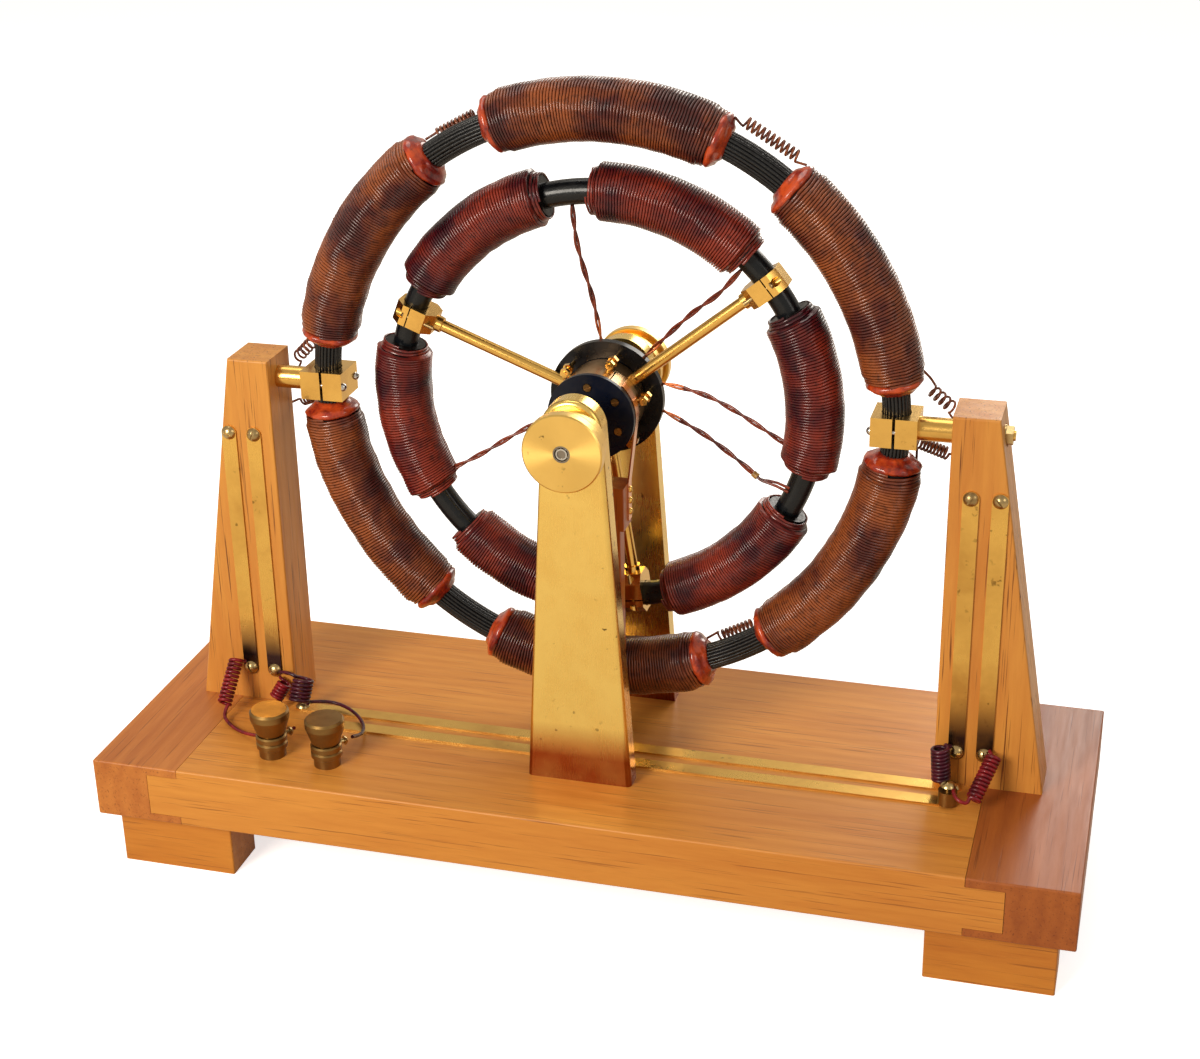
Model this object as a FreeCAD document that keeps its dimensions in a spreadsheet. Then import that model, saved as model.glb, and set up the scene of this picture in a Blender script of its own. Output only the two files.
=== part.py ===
import FreeCAD, Part
import Sketcher
import math
import os
import re
from types import SimpleNamespace

# Demonstration electric motor. Millimetres, +Z up, +Y towards the back.
# The origin is under the middle of the base, on the surface that the feet stand on.

os.makedirs("parts", exist_ok=True)
doc = FreeCAD.newDocument("DemonstrationMotor")
sheet = doc.addObject("Spreadsheet::Sheet", "Sizes")

SIZES = {
    # Base board, with an end batten across each end, on four feet
    "base_length": 600, "base_depth": 213, "board_thick": 38.5,
    "batten_left_width": 56.5, "batten_right_width": 63, "tongue_thick": 27,
    "tongue_left": 20, "tongue_right": 22, "seam": 0.3, "wood_ease": 1.2,
    "foot_height": 37, "foot_length": 75, "foot_width": 32,
    "foot_end_inset": 10, "foot_side_inset": 8.5,
    # Two tapered wooden posts with stub tenons
    "post_inner": 206, "post_top_width": 26.5, "post_foot_width": 64.6,
    "post_height": 233.3, "post_depth": 33, "post_middle": 9.5,
    "tenon_inset": 3, "tenon_length": 24, "tenon_depth": 15, "tenon_height": 18, "wood_fit": 0.2,
    # Brass conductor strips and their round-head screws
    "strip_width": 9.5, "strip_thick": 1.2, "strip_inset": 12.7, "strip_spacing": 16.5,
    "strip_inner": "=post_inner + strip_inset", "strip_outer": "=strip_inner + strip_spacing",
    "strip_low": 22.5, "strip_top_drop": 47.8, "strip_high": "=post_height - strip_top_drop",
    "base_strip_back": -12.2, "base_strip_front": -29.5,
    "back_strip_start": -199, "front_strip_start": -176, "back_strip_end": 218.5,
    "front_strip_end": 217.5, "stud_across": -31.5,
    "head_radius": 4.5, "head_height": 3, "slot_share": 0.22, "slot_floor": 0.62,
    "shank_radius": 1.6, "shank_length": 9, "drill_fit": 0.1,
    "stud_radius": 5.6, "stud_height": 9, "stud_wire_gap": 2.9,
    # Shaft axis below the posts' tops, and ring planes
    "axle_below_top": 14.2, "axle_rise": "=post_height - axle_below_top",
    "stator_plane": 9, "rotor_plane": 12.5,
    # Stator: wire-bundle core, six coils with end collars, and two clamps on the posts
    "stator_to_post": 32.9, "stator_radius": "=post_inner - stator_to_post",
    "stator_core_radius": 8.2, "stator_coil_radius": 18.3,
    "stator_gap": 12, "right_gap_shift": 0.7, "left_gap_shift": -2, "free_gap_shift": -1.5,
    "collar_length": 7.5, "collar_rim": 17.6, "collar_nose": 11.5, "core_fit": 0.3,
    "clamp_radial": 26.6, "clamp_depth": 26, "clamp_height": 17.5, "clamp_slot": 1.7,
    "clamp_screw_offset": 10.4, "clamp_screw_radius": 1.3, "clamp_screw_length": 18,
    "clamp_head_radius": 2.6, "clamp_head_height": 2.4,
    "rod_radius": 7, "rod_stud_radius": 3, "rod_stud_fit": 0.1,
    "nut_radius": 5.8, "nut_height": 4.2, "nut_washer_radius": 6.2, "nut_washer_height": 1,
    "nut_seat_depth": 1.2, "nut_seat_radius": 6.8, "stud_end": 1.2,
    # Brass bearing columns and their turned bearing housings
    "column_middle": 3.85, "column_gap": 97.7, "column_thick": 13, "column_foot": 32.3,
    "column_crown": 18, "crown_above_axle": 6.9, "column_crown_rise": "=axle_rise + crown_above_axle",
    "column_round": 3, "column_bore": 8.2,
    "housing_radius": 23.3, "housing_thick": 7, "housing_groove": 19.5, "housing_groove_length": 4.5,
    "housing_seat": 21, "housing_seat_length": 6.4, "housing_spigot": 8, "housing_spigot_length": 11,
    "housing_round": 0.8, "shaft_hole": 3.2,
    "bearing_radius": 5, "bearing_width": 4, "bearing_outer_wall": 0.9, "bearing_inner_wall": 0.8,
    "bearing_fit": 0.05, "journal_radius": 2.5, "journal_length": 30, "shaft_radius": 5,
    "shaft_fit": 0.05, "shaft_recess": 0.4,
    # Commutator, hub and insulating discs
    "hub_front": -16.9, "front_disc_thick": 3, "front_disc_radius": 26,
    "segment_length": 17.9, "segment_radius": 24.5, "segment_inner": 14, "segment_slit": 0.8,
    "segment_phase": 64.5, "sleeve_radius": 13.7, "sleeve_washer": 22, "sleeve_washer_thick": 1.5,
    "hub_flange": 24, "hub_flange_length": 11.3, "hub_neck": 16, "hub_neck_length": 1,
    "rear_disc_radius": 34.5, "rear_disc_thick": 5, "hub_spigot": 10,
    "hub_boss_length": 3, "disc_fit": 0.1,
    "disc_screw_circle": 18, "disc_screw_phase": 35.5, "disc_head_radius": 2.3,
    "disc_head_recess": 2.8, "disc_head_depth": 1, "disc_screw_shank": 1.2,
    "disc_screw_length": 8, "disc_head_proud": 0.3, "disc_slot": 0.7, "disc_slot_depth": 0.6,
    "terminal_phase": 14, "terminal_plane": -0.6, "terminal_stud": 1.3, "terminal_sink": 4,
    "terminal_circle": 28.2, "terminal_front": -3.2, "terminal_bolt": 1.2,
    "terminal_nut": 2.9, "terminal_nut_height": 2.6, "terminal_far_nut": 3.3, "terminal_far": 4,
    "terminal_far_height": 3.2, "terminal_fit": 0.3, "terminal_tip": 0.8, "blind_gap": 0.2,
    # Rotor: three spokes, three clamps, wire-bundle core and six coils
    "ring_spacing": 47.4, "rotor_radius": "=stator_radius - ring_spacing",
    "rotor_core_radius": 7.5, "rotor_coil_radius": 17,
    "rotor_phase": 38.5, "rotor_gap": 12, "rotor_clamp_gap": 17,
    "spoke_radius": 3.6, "spoke_root": 14, "spoke_sink": 2, "spoke_collar": 4.8,
    "spoke_collar_length": 4, "rotor_clamp_inner": 15.3, "rotor_clamp_outer": 9.7,
    "rotor_clamp_half": 11, "rotor_clamp_bevel": 5.2, "rotor_clamp_width": 12.6,
    "rotor_clamp_slit": 0.8, "rotor_screw_offset": 9.3, "rotor_screw_radius": 1.1,
    "rotor_head_radius": 2.4, "rotor_head_height": 1.8, "rotor_screw_end": 3,
    # Brush block and the two leaf brushes
    "block_below_axle": 42.1, "block_height": "=axle_rise - block_below_axle",
    "block_front": -20, "block_back": -2, "block_stem": 17.5,
    "block_stem_back": -10.2,
    "block_head": 27, "brush_fit": 0.3, "brush_thick": 0.9, "brush_width": 6.6,
    "brush_middle": -8, "brush_top": 47, "brush_lean": 7, "brush_foot": 24,
    "brush_screw_first": 4.5, "brush_screw_step": 7, "brush_head_radius": 2.1,
    "brush_head_height": 1.8, "brush_shank": 0.9, "brush_shank_length": 8,
    # Binding posts
    "terminal_left_along": -193.5, "terminal_left_across": -72.5,
    "terminal_right_along": -156, "terminal_right_across": -75,
    "post_foot_radius": 8.3, "post_foot_height": 5.5, "post_bulge": 9.6, "post_bulge_height": 4.6,
    "post_groove": 8.7, "post_bevel": 0.9, "binding_stud": 2.5, "binding_stud_height": 28,
    "binding_fit": 0.05, "washer_radius": 7, "washer_thick": 1.4, "knob_foot": 8.9,
    "knob_flare": 12.2, "knob_flare_height": 10.5, "knob_rim_height": 3.8, "knob_crown": 1.4,
    "knob_crown_radius": 11, "knob_hollow": 14.5,
    "side_screw_rise": 12.4, "side_screw_turn": 48, "side_seat": 12,
    "side_screw_radius": 1.6, "side_screw_length": 8,
    "side_head_radius": 3, "side_head_height": 2.6,
    # Wires
    "lead_radius": 1.15, "spiral_radius": 5, "dark_spiral_radius": 6, "opening_spiral_radius": 7.2,
    "pigtail_radius": 3.3, "post_spiral_radius": 4.2, "pigtail_length": 32,
    "pigtail_offset": 15.5, "pair_radius": 1.35, "tail_radius": 0.7,
}

for row, (alias, number) in enumerate(SIZES.items(), 1):
    sheet.set(f"A{row}", alias)
    sheet.set(f"B{row}", str(number))
    sheet.setAlias(f"B{row}", alias)
doc.recompute()
size = SimpleNamespace(**{alias: float(sheet.get(alias)) for alias in SIZES})

# Heights and places that several pieces share, as expressions of the sheet's sizes
TOP = "(foot_height + board_thick)"
AXLE = f"({TOP} + axle_rise)"
POST_FRONT = "(post_middle - post_depth / 2)"
POST_BACK = "(post_middle + post_depth / 2)"
TENON_MIDDLE = "(post_inner + tenon_inset + tenon_length / 2)"
HOUSING_REACH = "(housing_seat_length + housing_groove_length + housing_thick)"
SEGMENT_FRONT = "(hub_front + front_disc_thick)"
FLANGE_FRONT = f"({SEGMENT_FRONT} + segment_length + sleeve_washer_thick)"
REAR_DISC_FRONT = f"({FLANGE_FRONT} + hub_flange_length + hub_neck_length)"
BRUSH_MEAN = "(segment_radius + brush_fit + brush_thick / 2)"
BLOCK_GAP = "(axle_rise - block_height)"
HEAD_HALF = (f"({BRUSH_MEAN} * cos(brush_lean) - ({BLOCK_GAP} - {BRUSH_MEAN} * sin(brush_lean))"
             " * tan(brush_lean) - brush_thick / 2)")
COLLAR_ANGLE = "(collar_length / stator_radius * 180 / pi)"
BINDING_SEAT = "(post_foot_height + 2 * post_bulge_height)"

ORIENTATION = {"z": ((0, 0, 1), 0), "x": ((0, 1, 0), 90), "y": ((1, 0, 0), -90),
               "-x": ((0, 1, 0), -90), "-y": ((1, 0, 0), 90), "-z": ((1, 0, 0), 180)}

sub_parts = []


def bound(text):
    """Expression text with each alias read from the sheet."""
    return re.sub(r"\b(" + "|".join(SIZES) + r")\b", r"Sizes.\1", text)


def bind(item, **cells):
    for name, text in cells.items():
        item.setExpression(name, bound(str(text)))


def spot(at=(0, 0, 0), axis=(0, 0, 1), angle=0):
    """Placement expression from a point, an axis and a turn about it."""
    x, y, z = at
    return (f"placement(vector({x}; {y}; {z}); "
            f"rotation(vector({axis[0]}; {axis[1]}; {axis[2]}); {angle}))")


def place(item, *spots):
    item.setExpression("Placement", bound(" * ".join(spots)))
    return item


def on_ring(angle, plane):
    """Frame at an angle about the shaft axis: x outwards, y back, z anticlockwise."""
    return spot((0, plane, AXLE), (0, -1, 0), angle)


def box(label, dimensions, at, frame=None):
    item = doc.addObject("Part::Box", label)
    bind(item, Length=dimensions[0], Width=dimensions[1], Height=dimensions[2])
    spots = [spot(at)] if frame is None else [frame, spot(at)]
    return place(item, *spots)


def rod(label, radius, length, at, along="z", frame=None, sweep=360):
    item = doc.addObject("Part::Cylinder", label)
    bind(item, Radius=radius, Height=length, Angle=sweep)
    axis, turn = ORIENTATION[along]
    spots = [spot(at, axis, turn)] if frame is None else [frame, spot(at, axis, turn)]
    return place(item, *spots)


def cone(label, radius, end_radius, length, at, along="z", frame=None):
    item = doc.addObject("Part::Cone", label)
    bind(item, Radius1=radius, Radius2=end_radius, Height=length)
    axis, turn = ORIENTATION[along]
    spots = [spot(at, axis, turn)] if frame is None else [frame, spot(at, axis, turn)]
    return place(item, *spots)


def hexagon(label, radius, length, at, along="z", frame=None):
    item = doc.addObject("Part::Prism", label)
    item.Polygon = 6
    bind(item, Circumradius=radius, Height=length)
    axis, turn = ORIENTATION[along]
    spots = [spot(at, axis, turn)] if frame is None else [frame, spot(at, axis, turn)]
    return place(item, *spots)


def ring(label, radius, section, plane, start="0", sweep="360"):
    """Round-section ring about the shaft axis, or the stretch of it from start over sweep."""
    item = doc.addObject("Part::Torus", label)
    bind(item, Radius1=radius, Radius2=section, Angle3=sweep)
    return place(item, on_ring(start, plane), spot((0, 0, 0), (1, 0, 0), 90))


def fuse(label, *items):
    item = doc.addObject("Part::MultiFuse", label)
    item.Shapes = list(items)
    item.Refine = True
    return item


def cut(label, base, *tools):
    item = doc.addObject("Part::Cut", label)
    item.Base = base
    item.Tool = tools[0] if len(tools) == 1 else fuse(f"{label}_tools", *tools)
    return item


def group(label, items):
    item = doc.addObject("Part::Compound", label)
    item.Links = list(items)
    return item


def mirrored(label, source, normal):
    item = doc.addObject("Part::Mirroring", label)
    item.Source = source
    item.Normal = normal
    return item


def eased(label, source, radius, wanted):
    """The source with the chosen straight edges rounded."""
    doc.recompute()
    item = doc.addObject("Part::Fillet", label)
    item.Base = source
    edges = enumerate(source.Shape.Edges, 1)
    item.Edges = [(number, radius, radius) for number, edge in edges if wanted(edge)]
    return item


def runs_along(edge, axis):
    start, end = edge.Vertexes[0].Point, edge.Vertexes[-1].Point
    return abs(abs((end - start).normalize().dot(axis)) - 1) < 0.001


def sub_part(item, label):
    item.Label = label
    sub_parts.append(item)
    return item


def origin_plane(body, role):
    return next(feature for feature in body.Origin.OriginFeatures if feature.Role == role)


def outline(body, plane, corners):
    """Closed polygon sketch whose corners are bound to expressions (across, up)."""
    sketch = body.newObject("Sketcher::SketchObject", f"{body.Name}_outline")
    sketch.AttachmentSupport = (origin_plane(body, plane), [""])
    sketch.MapMode = "FlatFace"
    count = len(corners)
    turn = 2 * math.pi / count
    rough = [FreeCAD.Vector(math.cos(turn * i), math.sin(turn * i), 0) for i in range(count)]
    for i in range(count):
        sketch.addGeometry(Part.LineSegment(rough[i], rough[(i + 1) % count]), False)
    for i in range(count):
        sketch.addConstraint(Sketcher.Constraint("Coincident", i, 2, (i + 1) % count, 1))
    for i, (across, up) in enumerate(corners):
        for kind, text, number in (("DistanceX", across, rough[i].x), ("DistanceY", up, rough[i].y)):
            index = sketch.addConstraint(Sketcher.Constraint(kind, -1, 1, i, 1, number))
            sketch.setExpression(f"Constraints[{index}]", bound(str(text)))
    return sketch


def turned(label, plane, corners, *spots):
    """Solid of revolution about the sketch's vertical axis."""
    body = doc.addObject("PartDesign::Body", label)
    profile = outline(body, plane, corners)
    feature = body.newObject("PartDesign::Revolution", f"{label}_turning")
    feature.Profile = profile
    feature.ReferenceAxis = (profile, ["V_Axis"])
    feature.Angle = 360
    return place(body, *spots)


def extruded(label, plane, corners, length, *spots):
    """Polygon pad, centred on its sketch plane."""
    body = doc.addObject("PartDesign::Body", label)
    profile = outline(body, plane, corners)
    feature = body.newObject("PartDesign::Pad", f"{label}_pad")
    feature.Profile = profile
    feature.SideType = "Symmetric"
    bind(feature, Length=length)
    return place(body, *spots)


def round_screw(label, head, height, shank, length, slot_turn, *spots):
    """Round-head slotted screw: the head stands on local z=0 and the shank goes down."""
    dome = doc.addObject("Part::Sphere", f"{label}_dome")
    globe = f"(({head} * {head} + {height} * {height}) / (2 * {height}))"
    bind(dome, Radius=globe, Angle1=f"asin(({globe} - {height}) / {globe})")
    place(dome, *spots, spot((0, 0, f"{height} - {globe}")))
    frame = " * ".join(spots)
    stem = rod(f"{label}_stem", shank, length, (0, 0, f"-({length})"), frame=frame)
    slot = box(f"{label}_slot", (f"3 * {head}", f"{head} * slot_share", height),
               (f"-1.5 * {head}", f"-{head} * slot_share / 2", f"{height} * slot_floor"),
               f"{frame} * {spot((0, 0, 0), (0, 0, 1), slot_turn)}")
    return cut(label, fuse(f"{label}_blank", dome, stem), slot)


def tube(points, radius, name):
    """Round wire on straight runs joined by tangent arcs, as large as the runs allow."""
    points = [FreeCAD.Vector(*point) for point in points]
    edges, last, radii = [], points[0], []
    for before, corner, after in zip(points, points[1:], points[2:]):
        back, ahead = (before - corner), (after - corner)
        reach = 0.45 * min(back.Length, ahead.Length)
        back, ahead = back.normalize(), ahead.normalize()
        half_turn = (math.pi - back.getAngle(ahead)) / 2
        radii.append(round(reach / math.tan(half_turn), 1))
        start, end = corner + back * reach, corner + ahead * reach
        middle_way = (back + ahead).normalize()
        bend = reach / math.tan(half_turn)
        middle = corner + middle_way * (bend / math.cos(half_turn) - bend)
        edges.append(Part.LineSegment(last, start).toShape())
        edges.append(Part.Arc(start, middle, end).toShape())
        last = end
    edges.append(Part.LineSegment(last, points[-1]).toShape())
    path = Part.Wire(edges)
    heading = (points[1] - points[0]).normalize()
    section = Part.Wire(Part.makeCircle(radius, points[0], heading))
    solid = path.makePipeShell([section], True, False)
    print(name, "wire radii", radii, "volume ratio",
          round(solid.Volume / (math.pi * radius ** 2 * path.Length), 3))
    return solid


def spiral(start, end, radius):
    """Closed solid of a wire spiral's outer shape."""
    start, end = FreeCAD.Vector(*start), FreeCAD.Vector(*end)
    return Part.makeCylinder(radius, (end - start).Length, start, end - start)


def shaped(label, solids):
    """Sub-part whose solids come from Part's own functions."""
    item = doc.addObject("Part::Feature", label)
    item.Shape = Part.makeCompound(solids)
    return sub_part(item, label)


X, Y, Z = FreeCAD.Vector(1, 0, 0), FreeCAD.Vector(0, 1, 0), FreeCAD.Vector(0, 0, 1)

# Screws: where each one is driven, so that wood and brass are drilled from the same places
POST_SCREWS = [(f"{side} * {column}", f"({TOP} + {rise})")
               for side in (-1, 1) for column in ("strip_inner", "strip_outer")
               for rise in ("strip_low", "strip_high")]
BASE_SCREWS = [("back_strip_start", "base_strip_back"), ("front_strip_start", "base_strip_front"),
               ("back_strip_end", "base_strip_back")]


def post_drills(side, name):
    wanted = [at for at in POST_SCREWS if at[0].startswith(f"{side} ")]
    through = [rod(f"{name}_back_{i}", "shank_radius + drill_fit", "shank_length + 1",
                   (x, f"{POST_BACK} + 1", z), "-y")
               for i, (x, z) in enumerate(at for at in wanted if "strip_high" in at[1])]
    return through + [rod(f"{name}_{i}", "shank_radius + drill_fit", "shank_length + 1",
                          (x, f"{POST_FRONT} - strip_thick - 1", z), "y")
                      for i, (x, z) in enumerate(wanted)]


def base_drills(name):
    return [rod(f"{name}_{i}", "shank_radius + drill_fit", "shank_length + 1",
                (x, y, f"{TOP} + strip_thick + 1"), "-z") for i, (x, y) in enumerate(BASE_SCREWS)]


# Base board: tongues at both ends, mortises for the posts' tenons
def make_base():
    left, right = "(-base_length / 2)", "(base_length / 2)"
    tongue_low = "(foot_height + (board_thick - tongue_thick) / 2)"
    plank = box("plank", ("base_length - batten_left_width - batten_right_width - 2 * seam",
                          "base_depth", "board_thick"),
                (f"{left} + batten_left_width + seam", "-base_depth / 2", "foot_height"))
    tongue = box("tongue", ("base_length - batten_left_width - batten_right_width"
                            " + tongue_left + tongue_right", "base_depth", "tongue_thick"),
                 (f"{left} + batten_left_width - tongue_left", "-base_depth / 2", tongue_low))
    board = eased("board_eased", fuse("board_blank", plank, tongue), size.wood_ease,
                  lambda e: runs_along(e, X) and e.Length > size.base_length / 2)
    mortises = [box(f"mortise_{i}", ("tenon_length + 2 * wood_fit", "tenon_depth + 2 * wood_fit",
                                     "tenon_height + wood_fit + 1"),
                    (f"{side} * {TENON_MIDDLE} - tenon_length / 2 - wood_fit",
                     "post_middle - tenon_depth / 2 - wood_fit", f"{TOP} - tenon_height - wood_fit"))
                for i, side in enumerate((-1, 1))]
    sub_part(cut("board", board, *mortises, *base_drills("board_drill")), "base_board")
    for name, width, tongue_length, start, slot_start in (
            ("left", "batten_left_width", "tongue_left", left,
             f"{left} + batten_left_width - tongue_left - seam"),
            ("right", "batten_right_width", "tongue_right", f"{right} - batten_right_width",
             f"{right} - batten_right_width")):
        blank = box(f"batten_{name}_blank", (width, "base_depth", "board_thick"),
                    (start, "-base_depth / 2", "foot_height"))
        outer = -size.base_length / 2 if name == "left" else size.base_length / 2
        soft = eased(f"batten_{name}_eased", blank, size.wood_ease,
                     lambda e, outer=outer: abs(e.CenterOfMass.x - outer) < 0.01
                     or (runs_along(e, X)))
        groove = box(f"groove_{name}", (f"{tongue_length} + seam", "base_depth",
                                        "tongue_thick + 2 * wood_fit"),
                     (slot_start, "-base_depth / 2", f"{tongue_low} - wood_fit"))
        sub_part(cut(f"batten_{name}", soft, groove), f"end_batten_{name}")


def make_feet():
    feet = []
    for i, (side, face) in enumerate(((-1, -1), (1, -1), (-1, 1), (1, 1))):
        blank = box(f"foot_blank_{i}", ("foot_length", "foot_width", "foot_height"),
                    (f"{side} * (base_length / 2 - foot_end_inset - foot_length / 2) - foot_length / 2",
                     f"{face} * (base_depth / 2 - foot_side_inset - foot_width / 2) - foot_width / 2",
                     0))
        feet.append(eased(f"foot_{i}", blank, size.wood_ease, lambda e: runs_along(e, Z)))
    sub_part(group("feet", feet), "feet")


def make_posts():
    outer_slope = "((post_foot_width - post_top_width) / post_height)"
    for name, side in (("left", -1), ("right", 1)):
        corners = [(f"{side} * post_inner", 0), (f"{side} * (post_inner + post_foot_width)", 0),
                   (f"{side} * (post_inner + post_top_width)", "post_height"),
                   (f"{side} * post_inner", "post_height")]
        taper = extruded(f"post_{name}_taper", "XZ_Plane", corners, "post_depth",
                         spot((0, "post_middle", TOP)))
        soft = eased(f"post_{name}_eased", taper, size.wood_ease,
                     lambda e: e.CenterOfMass.z > size.foot_height + size.board_thick + 1
                     and not runs_along(e, Y))
        tenon = box(f"tenon_{name}", ("tenon_length", "tenon_depth", "tenon_height + 1"),
                    (f"{side} * {TENON_MIDDLE} - tenon_length / 2",
                     "post_middle - tenon_depth / 2", f"{TOP} - tenon_height"))
        bore = rod(f"rod_bore_{name}", "rod_stud_radius + rod_stud_fit", "post_foot_width",
                   (f"{side} * (post_inner - 1)", "stator_plane", AXLE), "x" if side > 0 else "-x")
        outer = f"(post_inner + post_top_width + {outer_slope} * (post_height - axle_rise))"
        seat = rod(f"nut_seat_{name}", "nut_seat_radius", 8,
                   (f"{side} * ({outer} - nut_seat_depth)", "stator_plane", AXLE),
                   "x" if side > 0 else "-x")
        body = fuse(f"post_{name}_blank", soft, tenon)
        sub_part(cut(f"post_{name}", body, bore, seat, *post_drills(side, f"post_{name}_drill")),
                 f"post_{name}")


NUT_SEAT = ("(post_inner + post_top_width + (post_foot_width - post_top_width) / post_height"
            " * (post_height - axle_rise) - nut_seat_depth)")


# Brass strips with round ends: two up the front of each post, two along the base
def upright_strip(name, across):
    low, high = f"({TOP} + strip_low)", f"({TOP} + strip_high)"
    flat = box(f"{name}_flat", ("strip_width", "strip_thick", "strip_high - strip_low"),
               (f"{across} - strip_width / 2", f"{POST_FRONT} - strip_thick", low))
    ends = [rod(f"{name}_end_{i}", "strip_width / 2", "strip_thick",
                (across, f"{POST_FRONT} - strip_thick", z), "y") for i, z in enumerate((low, high))]
    return fuse(name, flat, *ends)


def lying_strip(name, start, end, across):
    flat = box(f"{name}_flat", (f"{end} - ({start})", "strip_width", "strip_thick"),
               (start, f"{across} - strip_width / 2", TOP))
    ends = [rod(f"{name}_end_{i}", "strip_width / 2", "strip_thick", (x, across, TOP))
            for i, x in enumerate((start, end))]
    return fuse(name, flat, *ends)


def make_strips():
    strips = []
    for side in (-1, 1):
        uprights = [upright_strip(f"upright_{column}_{side + 1}", f"({side} * {column})")
                    for column in ("strip_inner", "strip_outer")]
        strips.append(cut(f"uprights_{side + 1}", group(f"upright_pair_{side + 1}", uprights),
                          *post_drills(side, f"upright_drill_{side + 1}")))
    back = lying_strip("back_strip", "back_strip_start", "back_strip_end", "base_strip_back")
    front = lying_strip("front_strip", "front_strip_start", "front_strip_end", "base_strip_front")
    strips.append(cut("lying_strips", group("lying_pair", [back, front]),
                      *base_drills("lying_drill"),
                      rod("lying_stud_drill", "shank_radius + drill_fit", 4,
                          ("front_strip_end", "stud_across", f"{TOP} - 1"))))
    sub_part(group("strips", strips), "conductor_strips")


def side_way(name):
    """Frame of a binding post's side screw, x along the screw."""
    at = (f"terminal_{name}_along", f"terminal_{name}_across", f"{TOP} + side_screw_rise")
    return spot(at, (0, 0, 1), "side_screw_turn")


def make_strip_screws():
    screws = []
    for i, (x, z) in enumerate(POST_SCREWS):
        screws.append(round_screw(f"post_screw_{i}", "head_radius", "head_height", "shank_radius",
                                  "shank_length", 35 + 40 * i,
                                  spot((x, f"{POST_FRONT} - strip_thick", z), (1, 0, 0), 90)))
        if "strip_high" in z:
            screws.append(round_screw(f"back_screw_{i}", "head_radius", "head_height",
                                      "shank_radius", "shank_length", 25 + 50 * i,
                                      spot((x, POST_BACK, z), (1, 0, 0), -90)))
    for i, (x, y) in enumerate(BASE_SCREWS):
        screws.append(round_screw(f"base_screw_{i}", "head_radius", "head_height", "shank_radius",
                                  "shank_length", 20 + 50 * i, spot((x, y, f"{TOP} + strip_thick"))))
    stud_top = f"({TOP} + strip_thick + stud_height + stud_wire_gap)"
    screws.append(round_screw("stud_screw", "head_radius", "head_height", "shank_radius",
                              "stud_wire_gap + stud_height / 2", 50,
                              spot(("front_strip_end", "stud_across", stud_top))))
    for name in ("left", "right"):
        out = f"{side_way(name)} * {spot(('side_seat', 0, 0), (0, 1, 0), 90)}"
        screws.append(round_screw(f"side_screw_{name}", "side_head_radius", "side_head_height",
                                  "side_screw_radius", "side_screw_length - 1", 30, out))
    sub_part(group("screws", screws), "small_screws")


def make_stud():
    drum = rod("stud_drum", "stud_radius", "stud_height",
               ("front_strip_end", "stud_across", f"{TOP} + strip_thick"))
    hole = rod("stud_hole", "shank_radius + drill_fit", "stud_height",
               ("front_strip_end", "stud_across", f"{TOP} + strip_thick + stud_height / 2 - 1"))
    sub_part(cut("stud", drum, hole), "base_stud")


# Stator ring
STATOR_GAPS = ["right_gap_shift", "60 + free_gap_shift", "120 + free_gap_shift",
               "180 + left_gap_shift", "240 + free_gap_shift", "300 + free_gap_shift"]


def coil(name, radius, section, core, plane, start, end):
    wound = ring(f"{name}_wound", radius, section, plane, start, f"({end}) - ({start})")
    hollow = ring(f"{name}_hollow", radius, f"{core} + core_fit", plane)
    sub_part(cut(name, wound, hollow), name)


def make_stator():
    core = ring("stator_bundle", "stator_radius", "stator_core_radius", "stator_plane")
    sub_part(core, "stator_core")
    collars = []
    for i, gap in enumerate(STATOR_GAPS):
        following = STATOR_GAPS[(i + 1) % 6] + (" + 360" if i == 5 else "")
        start = f"({gap} + stator_gap / 2 + {COLLAR_ANGLE})"
        end = f"({following} - stator_gap / 2 - {COLLAR_ANGLE})"
        coil(f"stator_coil_{i + 1}", "stator_radius", "stator_coil_radius", "stator_core_radius",
             "stator_plane", start, end)
        for edge, angle, along in (("start", start, "-z"), ("end", end, "z")):
            nose = cone(f"collar_{edge}_{i}", "collar_rim", "collar_nose", "collar_length",
                        ("stator_radius", 0, 0), along, on_ring(angle, "stator_plane"))
            bore = ring(f"collar_{edge}_bore_{i}", "stator_radius", "stator_core_radius + core_fit",
                        "stator_plane")
            collars.append(cut(f"collar_{edge}_cut_{i}", nose, bore))
    sub_part(group("collars", collars), "stator_collars")


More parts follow.
